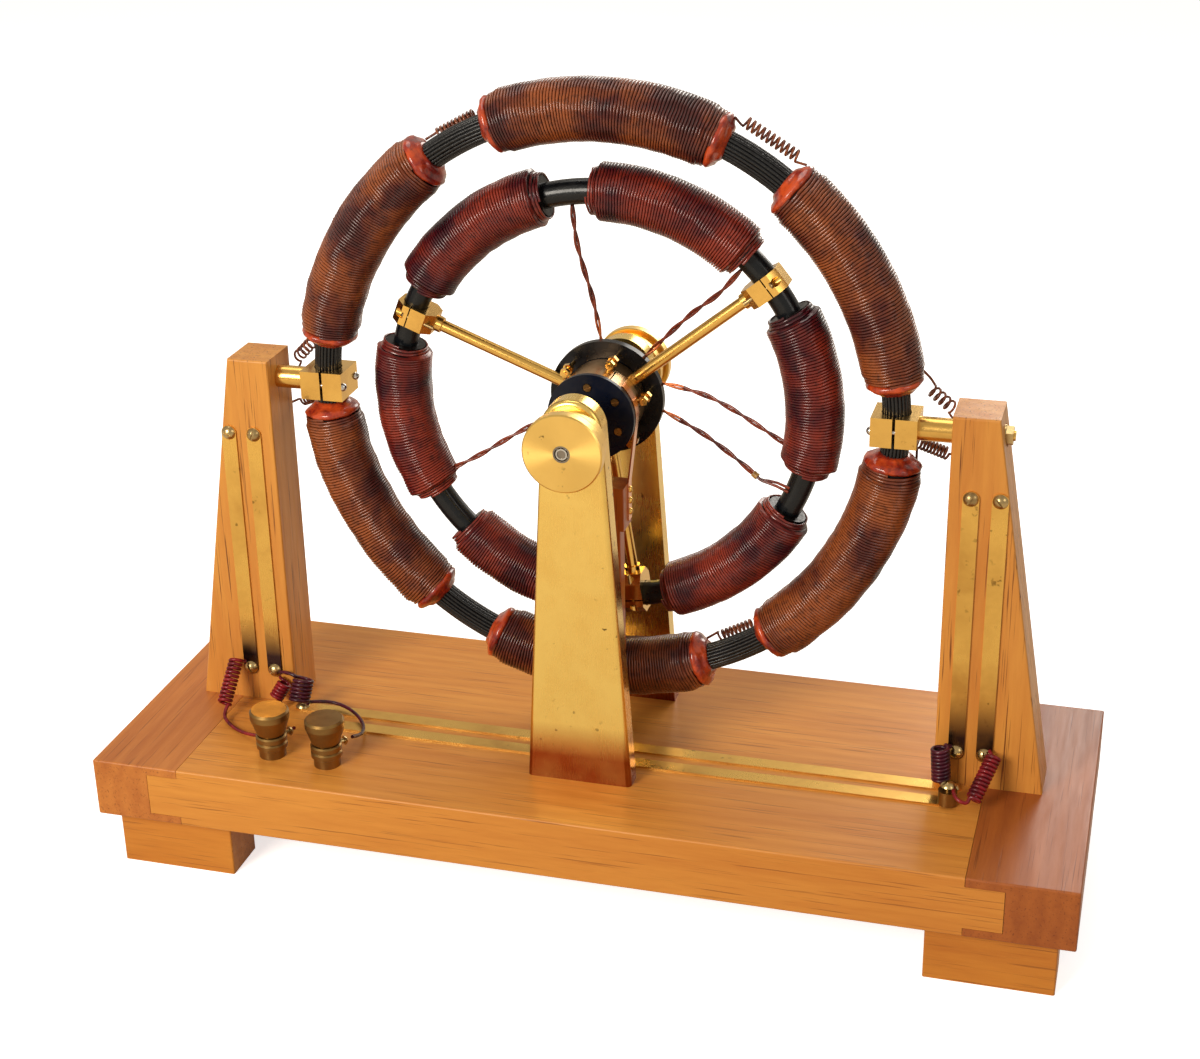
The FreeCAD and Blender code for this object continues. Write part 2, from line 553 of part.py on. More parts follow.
def make_stator_clamps():
    halves, screws, rods, nuts = [], [], [], []
    for i, angle in enumerate((0, 180)):
        frame = on_ring(angle, "stator_plane")
        low, deep = "-clamp_height / 2", "-clamp_depth / 2"
        inner = "(stator_radius - clamp_radial / 2)"
        blocks = [box(f"clamp_cap_{i}", ("(clamp_radial - clamp_slot) / 2", "clamp_depth",
                                         "clamp_height"), (inner, deep, low), frame),
                  box(f"clamp_block_{i}", ("(clamp_radial - clamp_slot) / 2", "clamp_depth",
                                           "clamp_height"),
                      ("stator_radius + clamp_slot / 2", deep, low), frame)]
        bore = ring(f"clamp_bore_{i}", "stator_radius", "stator_core_radius + core_fit",
                    "stator_plane")
        drills = [rod(f"clamp_drill_{i}_{n}", "clamp_screw_radius + drill_fit",
                      "clamp_screw_length + 1", (f"{inner} - 1", f"{way} * clamp_screw_offset", 0),
                      "x", frame) for n, way in enumerate((-1, 1))]
        halves.append(cut(f"clamp_{i}", group(f"clamp_pair_{i}", blocks), bore, *drills))
        for n, way in enumerate((-1, 1)):
            seat = f"{frame} * {spot((inner, f'{way} * clamp_screw_offset', 0), (0, 1, 0), -90)}"
            screws.append(round_screw(f"clamp_screw_{i}_{n}", "clamp_head_radius",
                                      "clamp_head_height", "clamp_screw_radius",
                                      "clamp_screw_length", 30 + 50 * n, seat))
        bar = rod(f"rod_bar_{i}", "rod_radius", "post_inner - stator_radius - clamp_radial / 2",
                  ("stator_radius + clamp_radial / 2", 0, 0), "x", frame)
        stud = rod(f"rod_stud_{i}", "rod_stud_radius",
                   f"{NUT_SEAT} + nut_washer_height + nut_height + stud_end - post_inner + 1",
                   ("post_inner - 1", 0, 0), "x", frame)
        rods.append(fuse(f"rod_{i}", bar, stud))
        nut = hexagon(f"nut_hexagon_{i}", "nut_radius", "nut_height",
                      (f"{NUT_SEAT} + nut_washer_height", 0, 0), "x", frame)
        washer = rod(f"nut_washer_{i}", "nut_washer_radius", "nut_washer_height",
                     (NUT_SEAT, 0, 0), "x", frame)
        hole = rod(f"nut_hole_{i}", "rod_stud_radius + rod_stud_fit", 20, (f"{NUT_SEAT} - 1", 0, 0),
                   "x", frame)
        nuts.append(cut(f"nut_{i}", fuse(f"nut_blank_{i}", nut, washer), hole))
    sub_part(group("clamps", halves), "stator_clamps")
    sub_part(group("clamp_screws", screws), "stator_clamp_screws")
    sub_part(group("rods", rods), "clamp_rods")
    sub_part(group("nuts", nuts), "rod_nuts")


# Bearing columns: tapered sides tangent to a round crown, outward edges rounded
def make_column(name, turn):
    body = doc.addObject("PartDesign::Body", f"column_{name}_plate")
    sketch = body.newObject("Sketcher::SketchObject", f"column_{name}_outline")
    sketch.AttachmentSupport = (origin_plane(body, "XZ_Plane"), [""])
    sketch.MapMode = "FlatFace"
    foot, crown, rise = size.column_foot, size.column_crown, size.column_crown_rise
    lean = math.asin((foot - crown) / rise)
    side = FreeCAD.Vector(crown * math.cos(lean), rise + crown * math.sin(lean), 0)
    other = FreeCAD.Vector(-side.x, side.y, 0)
    left, right = FreeCAD.Vector(-foot, 0, 0), FreeCAD.Vector(foot, 0, 0)
    circle = Part.Circle(FreeCAD.Vector(0, rise, 0), Z, crown)
    sketch.addGeometry(Part.LineSegment(left, right), False)
    sketch.addGeometry(Part.LineSegment(right, side), False)
    sketch.addGeometry(Part.ArcOfCircle(circle, lean, math.pi - lean), False)
    sketch.addGeometry(Part.LineSegment(other, left), False)
    rule = Sketcher.Constraint
    sketch.addConstraint([rule("Coincident", 0, 2, 1, 1), rule("Tangent", 1, 2, 2, 1),
                          rule("Tangent", 2, 2, 3, 1), rule("Coincident", 3, 2, 0, 1),
                          rule("PointOnObject", 0, 1, -1), rule("PointOnObject", 0, 2, -1),
                          rule("PointOnObject", 2, 3, -2)])
    for made, text in ((rule("DistanceX", 0, 1, -1, 1, foot), "column_foot"),
                       (rule("DistanceX", -1, 1, 0, 2, foot), "column_foot"),
                       (rule("DistanceY", -1, 1, 2, 3, rise), "column_crown_rise"),
                       (rule("Radius", 2, crown), "column_crown")):
        index = sketch.addConstraint(made)
        sketch.setExpression(f"Constraints[{index}]", bound(text))
    pad = body.newObject("PartDesign::Pad", f"column_{name}_pad")
    pad.Profile = sketch
    bind(pad, Length="column_thick")
    doc.recompute()
    face = body.Shape.BoundBox.YMin
    outward = [f"Edge{number}" for number, edge in enumerate(body.Shape.Edges, 1)
               if abs(edge.CenterOfMass.y - face) < 0.01 and edge.CenterOfMass.z > 1]
    rounding = body.newObject("PartDesign::Fillet", f"column_{name}_round")
    rounding.Base = (pad, outward)
    bind(rounding, Radius="column_round")
    place(body, spot((0, "column_middle", TOP), (0, 0, 1), turn), spot((0, "-column_gap / 2", 0)))
    bore = rod(f"column_{name}_bore", "column_bore", "column_thick + 2",
               (0, "-column_gap / 2 - column_thick - 1", "axle_rise"), "y",
               spot((0, "column_middle", TOP), (0, 0, 1), turn))
    sub_part(cut(f"column_{name}", body, bore), f"column_{name}")


def make_bearings():
    housings, outer_rings, inner_rings = [], [], []
    for name, turn in (("front", 0), ("rear", 180)):
        frame = spot((0, "column_middle", AXLE), (0, 0, 1), turn)
        reach = HOUSING_REACH
        front = f"(-{reach})"
        corners = [("shaft_hole", "housing_spigot_length"), ("shaft_hole", f"{front} + bearing_width"),
                   ("bearing_radius + bearing_fit", f"{front} + bearing_width"),
                   ("bearing_radius + bearing_fit", front),
                   ("housing_radius - housing_round", front),
                   ("housing_radius", f"{front} + housing_round"),
                   ("housing_radius", f"{front} + housing_thick - housing_round / 2"),
                   ("housing_radius - housing_round / 2", f"{front} + housing_thick"),
                   ("housing_groove", f"{front} + housing_thick"),
                   ("housing_groove", "-housing_seat_length"),
                   ("housing_seat - housing_round / 2", "-housing_seat_length"),
                   ("housing_seat", "-housing_seat_length + housing_round / 2"),
                   ("housing_seat", 0), ("housing_spigot", 0),
                   ("housing_spigot", "housing_spigot_length")]
        seat = spot((0, "-column_gap / 2 - column_thick", 0))
        housings.append(turned(f"housing_{name}", "XY_Plane", corners, frame, seat))
        for kind, outer, wall, rings in (
                ("outer", "bearing_radius", "bearing_outer_wall", outer_rings),
                ("inner", "(journal_radius + bearing_fit + bearing_inner_wall)",
                 "bearing_inner_wall", inner_rings)):
            at = (0, front, 0)
            body = rod(f"{kind}_ring_{name}", outer, "bearing_width", at, "y", f"{frame} * {seat}")
            hole = rod(f"{kind}_ring_hole_{name}", f"{outer} - {wall}", "bearing_width + 2",
                       (0, f"{front} - 1", 0), "y", f"{frame} * {seat}")
            rings.append(cut(f"{kind}_ring_cut_{name}", body, hole))
    sub_part(group("housings", housings), "bearing_housings")
    sub_part(group("outer_rings", outer_rings), "bearing_outer_rings")
    sub_part(group("inner_rings", inner_rings), "bearing_inner_rings")


# Shaft, hub and commutator, all turned about the shaft axis
def make_shaft():
    half = f"(column_gap / 2 + column_thick + {HOUSING_REACH} - shaft_recess)"
    corners = [(0, f"-{half}"), ("journal_radius", f"-{half}"),
               ("journal_radius", f"-{half} + journal_length"),
               ("shaft_radius", f"-{half} + journal_length"),
               ("shaft_radius", f"{half} - journal_length"),
               ("journal_radius", f"{half} - journal_length"), ("journal_radius", half), (0, half)]
    sub_part(turned("shaft_turning", "XY_Plane", corners, spot((0, "column_middle", AXLE))), "shaft")


def make_hub():
    bore = "(shaft_radius + shaft_fit)"
    rear = REAR_DISC_FRONT
    corners = [(bore, FLANGE_FRONT), ("hub_flange", FLANGE_FRONT),
               ("hub_flange", f"{FLANGE_FRONT} + hub_flange_length"),
               ("hub_neck", f"{FLANGE_FRONT} + hub_flange_length"), ("hub_neck", rear),
               ("hub_spigot", rear), ("hub_spigot", f"{rear} + rear_disc_thick + hub_boss_length"),
               (bore, f"{rear} + rear_disc_thick + hub_boss_length")]
    blank = turned("hub_turning", "XY_Plane", corners, spot((0, 0, AXLE)))
    drills = [rod(f"spoke_drill_{i}", "spoke_radius + shaft_fit", "hub_flange", ("spoke_root", 0, 0),
                  "x", on_ring(f"rotor_phase + {120 * i}", "rotor_plane")) for i in range(3)]
    sub_part(cut("hub_drilled", blank, *drills), "hub")
    sleeve = [(bore, SEGMENT_FRONT), ("sleeve_radius", SEGMENT_FRONT),
              ("sleeve_radius", f"{SEGMENT_FRONT} + segment_length"),
              ("sleeve_washer", f"{SEGMENT_FRONT} + segment_length"),
              ("sleeve_washer", FLANGE_FRONT), (bore, FLANGE_FRONT)]
    sub_part(turned("sleeve_turning", "XY_Plane", sleeve, spot((0, 0, AXLE))), "insulating_sleeve")


def disc_screw_places(name, radius, length, start):
    return [rod(f"{name}_{i}", radius, length, ("disc_screw_circle", start, 0), "y",
                on_ring(f"disc_screw_phase + {60 * i}", 0)) for i in range(6)]


def make_commutator():
    drum = rod("segment_drum", "segment_radius", "segment_length", (0, SEGMENT_FRONT, AXLE), "y")
    hole = rod("segment_hole", "segment_inner", "segment_length + 2", (0, f"{SEGMENT_FRONT} - 1", AXLE),
               "y")
    slits = [box(f"segment_slit_{i}", ("segment_radius", "segment_length + 2", "segment_slit"),
                 ("segment_inner - 2", f"{SEGMENT_FRONT} - 1", "-segment_slit / 2"),
                 on_ring(f"segment_phase + {60 * i}", 0)) for i in range(6)]
    wells = disc_screw_places("segment_well", "disc_screw_shank + drill_fit", "disc_screw_length",
                              "hub_front")
    sinks = [rod(f"terminal_well_{i}", "terminal_stud + drill_fit", "terminal_sink + 2",
                 ("segment_radius - terminal_sink", 0, 0), "x",
                 on_ring(f"terminal_phase + {60 * i}", "terminal_plane")) for i in range(6)]
    sub_part(cut("segments", drum, hole, *slits, *wells, *sinks), "commutator_segments")
    plate = rod("front_plate", "front_disc_radius", "front_disc_thick", (0, "hub_front", AXLE), "y")
    centre = rod("front_centre", "shaft_radius + shaft_fit", "front_disc_thick + 2",
                 (0, "hub_front - 1", AXLE), "y")
    recesses = disc_screw_places("disc_recess", "disc_head_recess", "disc_head_depth + 1",
                                 "hub_front - 1")
    holes = disc_screw_places("disc_hole", "disc_screw_shank + drill_fit", "front_disc_thick + 1",
                              "hub_front")
    sub_part(cut("front_disc", plate, centre, *recesses, *holes), "disc_front")
    heads = disc_screw_places("disc_head", "disc_head_radius", "disc_head_depth + disc_head_proud",
                              "hub_front - disc_head_proud")
    shanks = disc_screw_places("disc_shank", "disc_screw_shank",
                               "disc_screw_length - disc_head_depth - blind_gap",
                               "hub_front + disc_head_depth")
    grooves = [box(f"disc_groove_{i}", ("3 * disc_head_radius", "disc_slot_depth", "disc_slot"),
                   ("-1.5 * disc_head_radius", "-blind_gap / 2", "-disc_slot / 2"),
                   f"{on_ring(f'disc_screw_phase + {60 * i}', 'hub_front - disc_head_proud')} * "
                   f"{spot(('disc_screw_circle', 0, 0), (0, 1, 0), 25 + 47 * i)}") for i in range(6)]
    screws = [cut(f"disc_screw_{i}", fuse(f"disc_screw_blank_{i}", heads[i], shanks[i]), grooves[i])
              for i in range(6)]
    sub_part(group("disc_screw_set", screws), "disc_screws")
    rear_plate = rod("rear_plate", "rear_disc_radius", "rear_disc_thick", (0, REAR_DISC_FRONT, AXLE),
                     "y")
    rear_centre = rod("rear_centre", "hub_spigot + disc_fit", "rear_disc_thick + 2",
                      (0, f"{REAR_DISC_FRONT} - 1", AXLE), "y")
    sub_part(cut("rear_disc", rear_plate, rear_centre), "disc_rear")


def make_segment_terminals():
    terminals = []
    for i in range(6):
        frame = on_ring(f"terminal_phase + {60 * i}", 0)
        stud = rod(f"terminal_stud_{i}", "terminal_stud",
                   "terminal_circle - segment_radius + terminal_sink - blind_gap",
                   ("segment_radius - terminal_sink + blind_gap", "terminal_plane", 0), "x", frame)
        bolt = rod(f"terminal_bolt_{i}", "terminal_bolt",
                   f"{REAR_DISC_FRONT} - terminal_fit - terminal_front",
                   ("terminal_circle", "terminal_front", 0), "y", frame)
        nut = hexagon(f"terminal_nut_{i}", "terminal_nut", "terminal_nut_height",
                      ("terminal_circle", "terminal_front + terminal_tip", 0), "y", frame)
        far = hexagon(f"terminal_far_{i}", "terminal_far_nut", "terminal_far_height",
                      ("terminal_circle", "terminal_far", 0), "y", frame)
        terminals.append(fuse(f"terminal_{i}", stud, bolt, nut, far))
    sub_part(group("terminals", terminals), "segment_terminals")


# Rotor ring, carried by three spokes
def make_rotor():
    sub_part(ring("rotor_bundle", "rotor_radius", "rotor_core_radius", "rotor_plane"), "rotor_core")
    for i in range(6):
        clamped = i % 2 == 0
        half_here = "rotor_clamp_gap / 2" if clamped else "rotor_gap / 2"
        half_next = "rotor_gap / 2" if clamped else "rotor_clamp_gap / 2"
        coil(f"rotor_coil_{i + 1}", "rotor_radius", "rotor_coil_radius", "rotor_core_radius",
             "rotor_plane", f"(rotor_phase + {60 * i} + {half_here})",
             f"(rotor_phase + {60 * (i + 1)} - {half_next})")
    clamps, screws, spokes = [], [], []
    inner, outer = "(rotor_radius - rotor_clamp_inner)", "(rotor_radius + rotor_clamp_outer)"
    half, bevel = "rotor_clamp_half", "rotor_clamp_bevel"
    corners = [(inner, f"-{half} + {bevel}"), (f"{inner} + {bevel}", f"-{half}"),
               (f"{outer} - {bevel}", f"-{half}"), (outer, f"-{half} + {bevel}"),
               (outer, f"{half} - {bevel}"), (f"{outer} - {bevel}", half),
               (f"{inner} + {bevel}", half), (inner, f"{half} - {bevel}")]
    for i in range(3):
        frame = on_ring(f"rotor_phase + {120 * i}", "rotor_plane")
        block = extruded(f"rotor_block_{i}", "XY_Plane", corners, "rotor_clamp_width", frame)
        bore = ring(f"rotor_bore_{i}", "rotor_radius", "rotor_core_radius + core_fit", "rotor_plane")
        slit = box(f"rotor_slit_{i}", ("rotor_clamp_slit", "4 * rotor_clamp_half",
                                       "2 * rotor_clamp_width"),
                   ("rotor_radius - rotor_clamp_slit / 2", "-2 * rotor_clamp_half",
                    "-rotor_clamp_width"), frame)
        socket = rod(f"rotor_socket_{i}", "spoke_radius + drill_fit", "spoke_sink + 1",
                     (f"{inner} - 1", 0, 0), "x", frame)
        bevel_middle = f"({outer} - {half} + rotor_screw_offset)"
        drills, recesses = [], []
        for n, way in enumerate((-1, 1)):
            across = f"{way} * rotor_screw_offset"
            drills.append(rod(f"rotor_drill_{i}_{n}", "rotor_screw_radius + drill_fit", 60,
                              (f"{inner} - 10", across, 0), "x", frame))
            recesses.append(rod(f"rotor_recess_{i}_{n}", "rotor_head_radius + drill_fit", 12,
                                (f"{outer} - {bevel} - rotor_head_height", across, 0), "x", frame))
            seat = spot((f"{outer} - {bevel} - rotor_head_height", across, 0), (0, 1, 0), 90)
            reach = (f"{outer} - {bevel} - rotor_head_height - ({inner} + {half}"
                     " - rotor_screw_offset) + rotor_screw_end")
            screws.append(round_screw(f"rotor_screw_{i}_{n}", "rotor_head_radius",
                                      "rotor_head_height", "rotor_screw_radius", reach,
                                      20 + 60 * n, frame, seat))
        clamps.append(cut(f"rotor_clamp_{i}", block, bore, slit, socket, *drills, *recesses))
        stem = rod(f"spoke_stem_{i}", "spoke_radius", f"{inner} + spoke_sink - spoke_root - 2 * blind_gap",
                   ("spoke_root + blind_gap", 0, 0), "x", frame)
        collar = rod(f"spoke_collar_{i}", "spoke_collar", "spoke_collar_length",
                     (f"{inner} - spoke_collar_length", 0, 0), "x", frame)
        spokes.append(fuse(f"spoke_{i}", stem, collar))
    sub_part(group("rotor_clamp_set", clamps), "rotor_clamps")
    sub_part(group("rotor_screw_set", screws), "rotor_clamp_screws")
    sub_part(group("spoke_set", spokes), "spokes")


# Brush block with its head, and the leaf brushes screwed to its sides
def make_brush_block():
    stem = box("block_stem_box", ("2 * block_stem", "block_stem_back - block_front", "block_height"),
               ("-block_stem", "block_front", TOP))
    head = box("block_head_box", (f"2 * {HEAD_HALF}", "block_back - block_front", "block_head"),
               (f"-{HEAD_HALF}", "block_front", f"{TOP} + block_height - block_head"))
    blank = fuse("block_blank", stem, head)
    soft = eased("block_eased", blank, size.wood_ease / 2,
                 lambda e: runs_along(e, Z) and e.Length > size.block_head / 2)
    slots = [box(f"block_slot_{i}", ("4 * block_stem", "strip_width + 2 * wood_fit",
                                     "strip_thick + wood_fit"),
                 ("-2 * block_stem", f"{across} - strip_width / 2 - wood_fit", TOP))
             for i, across in enumerate(("base_strip_back", "base_strip_front"))]
    drills = [rod(f"block_drill_{i}_{n}", "brush_shank + drill_fit", "brush_shank_length",
                  (f"{side} * {HEAD_HALF}", "brush_middle",
                   f"{TOP} + block_height - brush_screw_first - {n} * brush_screw_step"),
                  "-x" if side > 0 else "x") for i, side in enumerate((-1, 1)) for n in range(3)]
    sub_part(cut("block", soft, *slots, *drills), "brush_block")


def make_brushes():
    front = "(brush_middle - brush_width / 2)"
    inside = "(segment_radius + brush_fit)"
    wrap = rod("brush_wrap", f"{inside} + brush_thick", "brush_width", (0, 0, 0), "-y",
               f"{spot((0, f'{front} + brush_width', AXLE))} * "
               f"{spot((0, 0, 0), (0, 1, 0), 'brush_lean')}", "brush_top + brush_lean")
    core = rod("brush_core", inside, "brush_width + 2", (0, f"{front} - 1", AXLE), "y")
    arc = cut("brush_arc", wrap, core)
    drop = f"(({BLOCK_GAP} - {BRUSH_MEAN} * sin(brush_lean)) / cos(brush_lean))"
    leaf = box("brush_leaf", ("brush_thick", "brush_width", drop),
               (inside, front, f"-{drop}"), on_ring("-brush_lean", 0))
    foot = box("brush_foot_box", ("brush_thick", "brush_width", "brush_foot"),
               (HEAD_HALF, front, f"{TOP} + block_height - brush_foot + brush_thick / 2"))
    drills = [rod(f"brush_drill_{n}", "brush_shank + drill_fit", "brush_thick + 2",
                  (f"{HEAD_HALF} - 1", "brush_middle",
                   f"{TOP} + block_height - brush_screw_first - {n} * brush_screw_step"), "x")
              for n in range(3)]
    right = cut("brush_strip", fuse("brush_blank", arc, leaf, foot), *drills)
    sub_part(right, "brush_right")
    sub_part(mirrored("brush_mirror", right, X), "brush_left")
    screws = []
    for side, turn in ((-1, -90), (1, 90)):
        for n in range(3):
            at = (f"{side} * ({HEAD_HALF} + brush_thick)", "brush_middle",
                  f"{TOP} + block_height - brush_screw_first - {n} * brush_screw_step")
            screws.append(round_screw(f"brush_screw_{side + 1}_{n}", "brush_head_radius",
                                      "brush_head_height", "brush_shank", "brush_shank_length - 1",
                                      40 * n, spot(at, (0, 1, 0), turn)))
    sub_part(group("brush_screw_set", screws), "brush_screws")


# Binding posts: turned foot with two bulges, a stud, a loose washer and a screw-down knob
def make_binding_posts():
    posts = []
    foot, bulge, bevel = "post_foot_height", "post_bulge_height", "post_bevel"
    for name in ("left", "right"):
        at = (f"terminal_{name}_along", f"terminal_{name}_across", TOP)
        corners = [(0, 0), ("post_foot_radius", 0), ("post_foot_radius", foot),
                   (f"post_bulge", f"{foot} + {bevel}"), ("post_bulge", f"{foot} + {bulge} - {bevel}"),
                   ("post_groove", f"{foot} + {bulge}"), ("post_bulge", f"{foot} + {bulge} + {bevel}"),
                   ("post_bulge", f"{foot} + 2 * {bulge} - {bevel}"),
                   ("post_groove", BINDING_SEAT), ("binding_stud", BINDING_SEAT),
                   ("binding_stud", "binding_stud_height"), (0, "binding_stud_height")]
        blank = turned(f"binding_{name}", "XZ_Plane", corners, spot(at))
        hole = rod(f"binding_hole_{name}", "side_screw_radius + drill_fit", 20,
                   ("side_seat - side_screw_length", 0, 0), "x", side_way(name))
        posts.append(cut(f"binding_post_{name}", blank, hole))
        washer = rod(f"washer_disc_{name}", "washer_radius", "washer_thick", (0, 0, BINDING_SEAT),
                     frame=spot(at))
        washer_hole = rod(f"washer_hole_{name}", "binding_stud + binding_fit", "washer_thick + 2",
                          (0, 0, f"{BINDING_SEAT} - 1"), frame=spot(at))
        sub_part(cut(f"washer_{name}", washer, washer_hole), f"terminal_washer_{name}")
        low = f"({BINDING_SEAT} + washer_thick)"
        rim = f"({low} + knob_flare_height)"
        hollow = "(binding_stud + binding_fit)"
        profile = [(hollow, low), ("knob_foot", low), ("knob_flare", rim),
                   ("knob_flare", f"{rim} + knob_rim_height"),
                   ("knob_crown_radius", f"{rim} + knob_rim_height + knob_crown"),
                   (0, f"{rim} + knob_rim_height + knob_crown"), (0, f"{low} + knob_hollow"),
                   (hollow, f"{low} + knob_hollow")]
        sub_part(turned(f"knob_{name}", "XZ_Plane", profile, spot(at)), f"terminal_knob_{name}")
    sub_part(group("binding_posts", posts), "terminal_posts")


def around_shaft(radius, degrees, across):
    """Point at a distance and an angle about the shaft axis."""
    turn = math.radians(degrees)
    axle = size.foot_height + size.board_thick + size.axle_rise
    return (radius * math.cos(turn), across, axle + radius * math.sin(turn))


def spiral_with_ends(start, end, radius, *wires):
    """Spiral's outer shape joined to the plain wire that comes out of it."""
    return spiral(start, end, radius).multiFuse(list(wires)).removeSplitter().Solids[0]


# Leads between the strips' screws, the binding posts and the base strips
def make_leads():
    top = size.foot_height + size.board_thick
    wire, fat = size.lead_radius, size.spiral_radius
    lift = wire + 0.3

    def lead(name, start, end, radius, *routes):
        start, end = [(x, y, top + z) for x, y, z in (start, end)]
        wires = [tube([(x, y, top + z) for x, y, z in route], wire, name) for route in routes]
        shaped(name, [spiral_with_ends(start, end, radius, *wires)])

    lead("lead_left", (-241.9, -14.7, 30.7), (-243.4, -34.5, 8.4), fat,
         [(-241.5, -14.4, 28.5), (-237.9, -9.7, 27.2)],
         [(-243.4, -33.8, 9.1), (-241.5, -41, 3.2), (-234, -47.5, lift), (-224, -54, lift),
          (-212, -60.5, 4), (-204.2, -66, 8)])
    lead("lead_middle", (-209.4, -14.2, 17.5), (-215.1, -18.2, 7.4), fat,
         [(-210.4, -13.6, 16.8), (-214.75, -9.7, 18.55)],
         [(-214.6, -17.9, 8.2), (-213.5, -25.5, 3.5), (-207, -35.5, lift),
          (-198, -46, lift + 1), (-189, -53.5, 7), (-184.4, -58.6, 12)])
    lead("lead_right", (-195.8, -14.5, 22.6), (-197.4, -21.5, 8.6), size.opening_spiral_radius,
         [(-214.6, -9.65, 22.4), (-208.5, -13.4, 25), (-201, -14.8, 22)],
         [(-192.5, -19.3, 8.6), (-181, -8, 4.4), (-167.9, -12.2, 4), (-156, -22, 4),
          (-147.6, -34, 4), (-144.6, -46.5, 5.5), (-145.2, -59.5, 11.6)])
    lead("lead_dark", (210.3, -17, 29.6), (211.8, -17, 8.5), size.dark_spiral_radius,
         [(211, -14.5, 27), (216, -9.7, 27.2)],
         [(211.9, -16.9, 9.5), (213.2, -15.7, 1.9)])
    lead("lead_red", (241.7, -15.2, 26.9), (232.8, -36.9, 8.6), fat,
         [(241, -14.8, 25.5), (238.3, -9.7, 27)],
         [(233.1, -36.2, 9.2), (230, -41.5, 8), (224.5, -41.8, 10), (221.3, -37.5, 11.55),
          (220.8, -32.5, 11.65)])


# Pigtail spirals across the free gaps of the stator, beside and behind the core
def make_pigtails():
    solids = []
    half = math.degrees(size.pigtail_length / 2 / size.stator_radius)
    collar_turn = math.degrees(size.collar_length / size.stator_radius)
    rest_radius = (size.collar_rim + size.collar_nose) / 2 + size.tail_radius + 0.1
    for middle, offset, back, share in ((60 + size.free_gap_shift, size.pigtail_offset, 3, 1),
                                        (120 + size.free_gap_shift, size.pigtail_offset - 7.5, 10, 0.8),
                                        (300 + size.free_gap_shift, 9.5 - size.pigtail_offset, 12.5, 0.8),
                                        (240 + size.free_gap_shift, size.pigtail_offset - 4.7, 9, 0.8)):
        radius, across = size.stator_radius + offset, size.stator_plane + back
        tilt = math.atan2(back, offset)
        ends, tails = [], []
        for way in (1, -1):
            ends.append(around_shaft(radius, middle + way * half * share, across))
            inside = around_shaft(radius, middle + way * half * share * 0.93, across)
            turn = middle + way * (size.stator_gap / 2 + collar_turn / 2)
            rest = around_shaft(size.stator_radius + rest_radius * math.cos(tilt), turn,
                                size.stator_plane + rest_radius * math.sin(tilt))
            tails.append(tube([inside, rest], size.tail_radius, "pigtail"))
        solids.append(spiral_with_ends(*ends, size.pigtail_radius, *tails))
    return solids


# Spirals from the coil ends beside the posts to the screws on the posts' backs
def make_post_spirals():
    axle = size.foot_height + size.board_thick + size.axle_rise
    solids = []

    def beside_post(side, point):
        """Place from its reach past the post's inner face, its depth and its rise above the axle."""
        reach, across, rise = point
        return FreeCAD.Vector(side * (size.post_inner + reach), across, axle + rise)

    upper = (-16.5, 25.5, 17.9), (-4, 30.5, 5.4), [(0, 33, -7.1), (13, 32, -21.1), (27.5, 27.4, -28.5)]
    lower = (-21.4, 27, -15.9), (-5.5, 30.5, -22.7), [(2, 31, -25.1), (11.2, 27.4, -28.4)]
    for side, coil_end, (start, end, tail_end) in (
            (1, [(-23.1, 23.8, 30.9), (-17.4, 26.5, 24.9)], upper),
            (1, [(-22.5, 23.8, -26.5), (-23, 27.5, -21.6)], lower),
            (-1, [(-23.9, 23.8, 34.9), (-18, 26.5, 27.9)], upper),
            (-1, [(-21.9, 23.8, -22.3), (-23.2, 27.8, -19.1)], lower)):
        start, end = beside_post(side, start), beside_post(side, end)
        inward = (end - start).normalize()
        routes = [[beside_post(side, point) for point in coil_end] + [start + inward],
                  [end - inward] + [beside_post(side, point) for point in tail_end]]
        wires = [tube([tuple(point) for point in route], size.tail_radius, "post spiral")
                 for route in routes]
        solids.append(spiral_with_ends(start, end, size.post_spiral_radius, *wires))
    return solids


# Twisted pairs from the rotor's gaps to the rear disc
def make_radial_wires():
    solids = []
    rear = size.hub_front + size.front_disc_thick + size.segment_length + size.sleeve_washer_thick
    rear += size.hub_flange_length + size.hub_neck_length + size.rear_disc_thick
    rim = size.rear_disc_radius - 3
    core = size.rotor_radius
    routes = [[(core - 8.7, 98.6), (core - 25.7, 99.9), (core - 47.7, 99.2), (57, 97.4), (rim, 98.2)],
              [(core - 8.7, 44.4), (core - 24.7, 45), (core - 43.7, 46.6), (61, 47.6), (rim, 48.5)],
              [(core - 17.5, -9), (core - 31.7, -6), (core - 49.7, -1), (56, 7), (rim, 17)],
              [(core - 8.7, -24), (core - 25.7, -23.2), (core - 47.7, -21), (57, -17.5), (rim, -13.6)],
              [(core - 17.5, -151.6), (core - 31.7, -151.4), (core - 49.7, -152.5), (56, -154),
               (rim, -157)],
              [(core - 8.7, -87.4), (core - 25.7, -88), (core - 47.7, -87.5), (57, -88.5), (rim, -90)]]
    for number, route in enumerate(routes, 1):
        planes = (size.rotor_plane, size.rotor_plane + 2.5, size.rotor_plane + 6,
                  rear - 1, rear + size.pair_radius + 0.7)
        points = [around_shaft(radius, degrees, across)
                  for (radius, degrees), across in zip(route, planes)]
        solids.append(tube(points, size.pair_radius, f"radial_wire_{number}"))
    shaped("radial_wires", solids)


make_base()
make_feet()
make_posts()
make_strips()
make_strip_screws()
make_stud()
make_stator()
make_stator_clamps()
make_column("front", 0)
make_column("rear", 180)
make_bearings()
make_shaft()
make_hub()
make_commutator()
make_segment_terminals()
make_rotor()
make_brush_block()
make_brushes()
make_binding_posts()
make_leads()
shaped("coil_pigtails", make_pigtails() + make_post_spirals())
make_radial_wires()
doc.recompute()

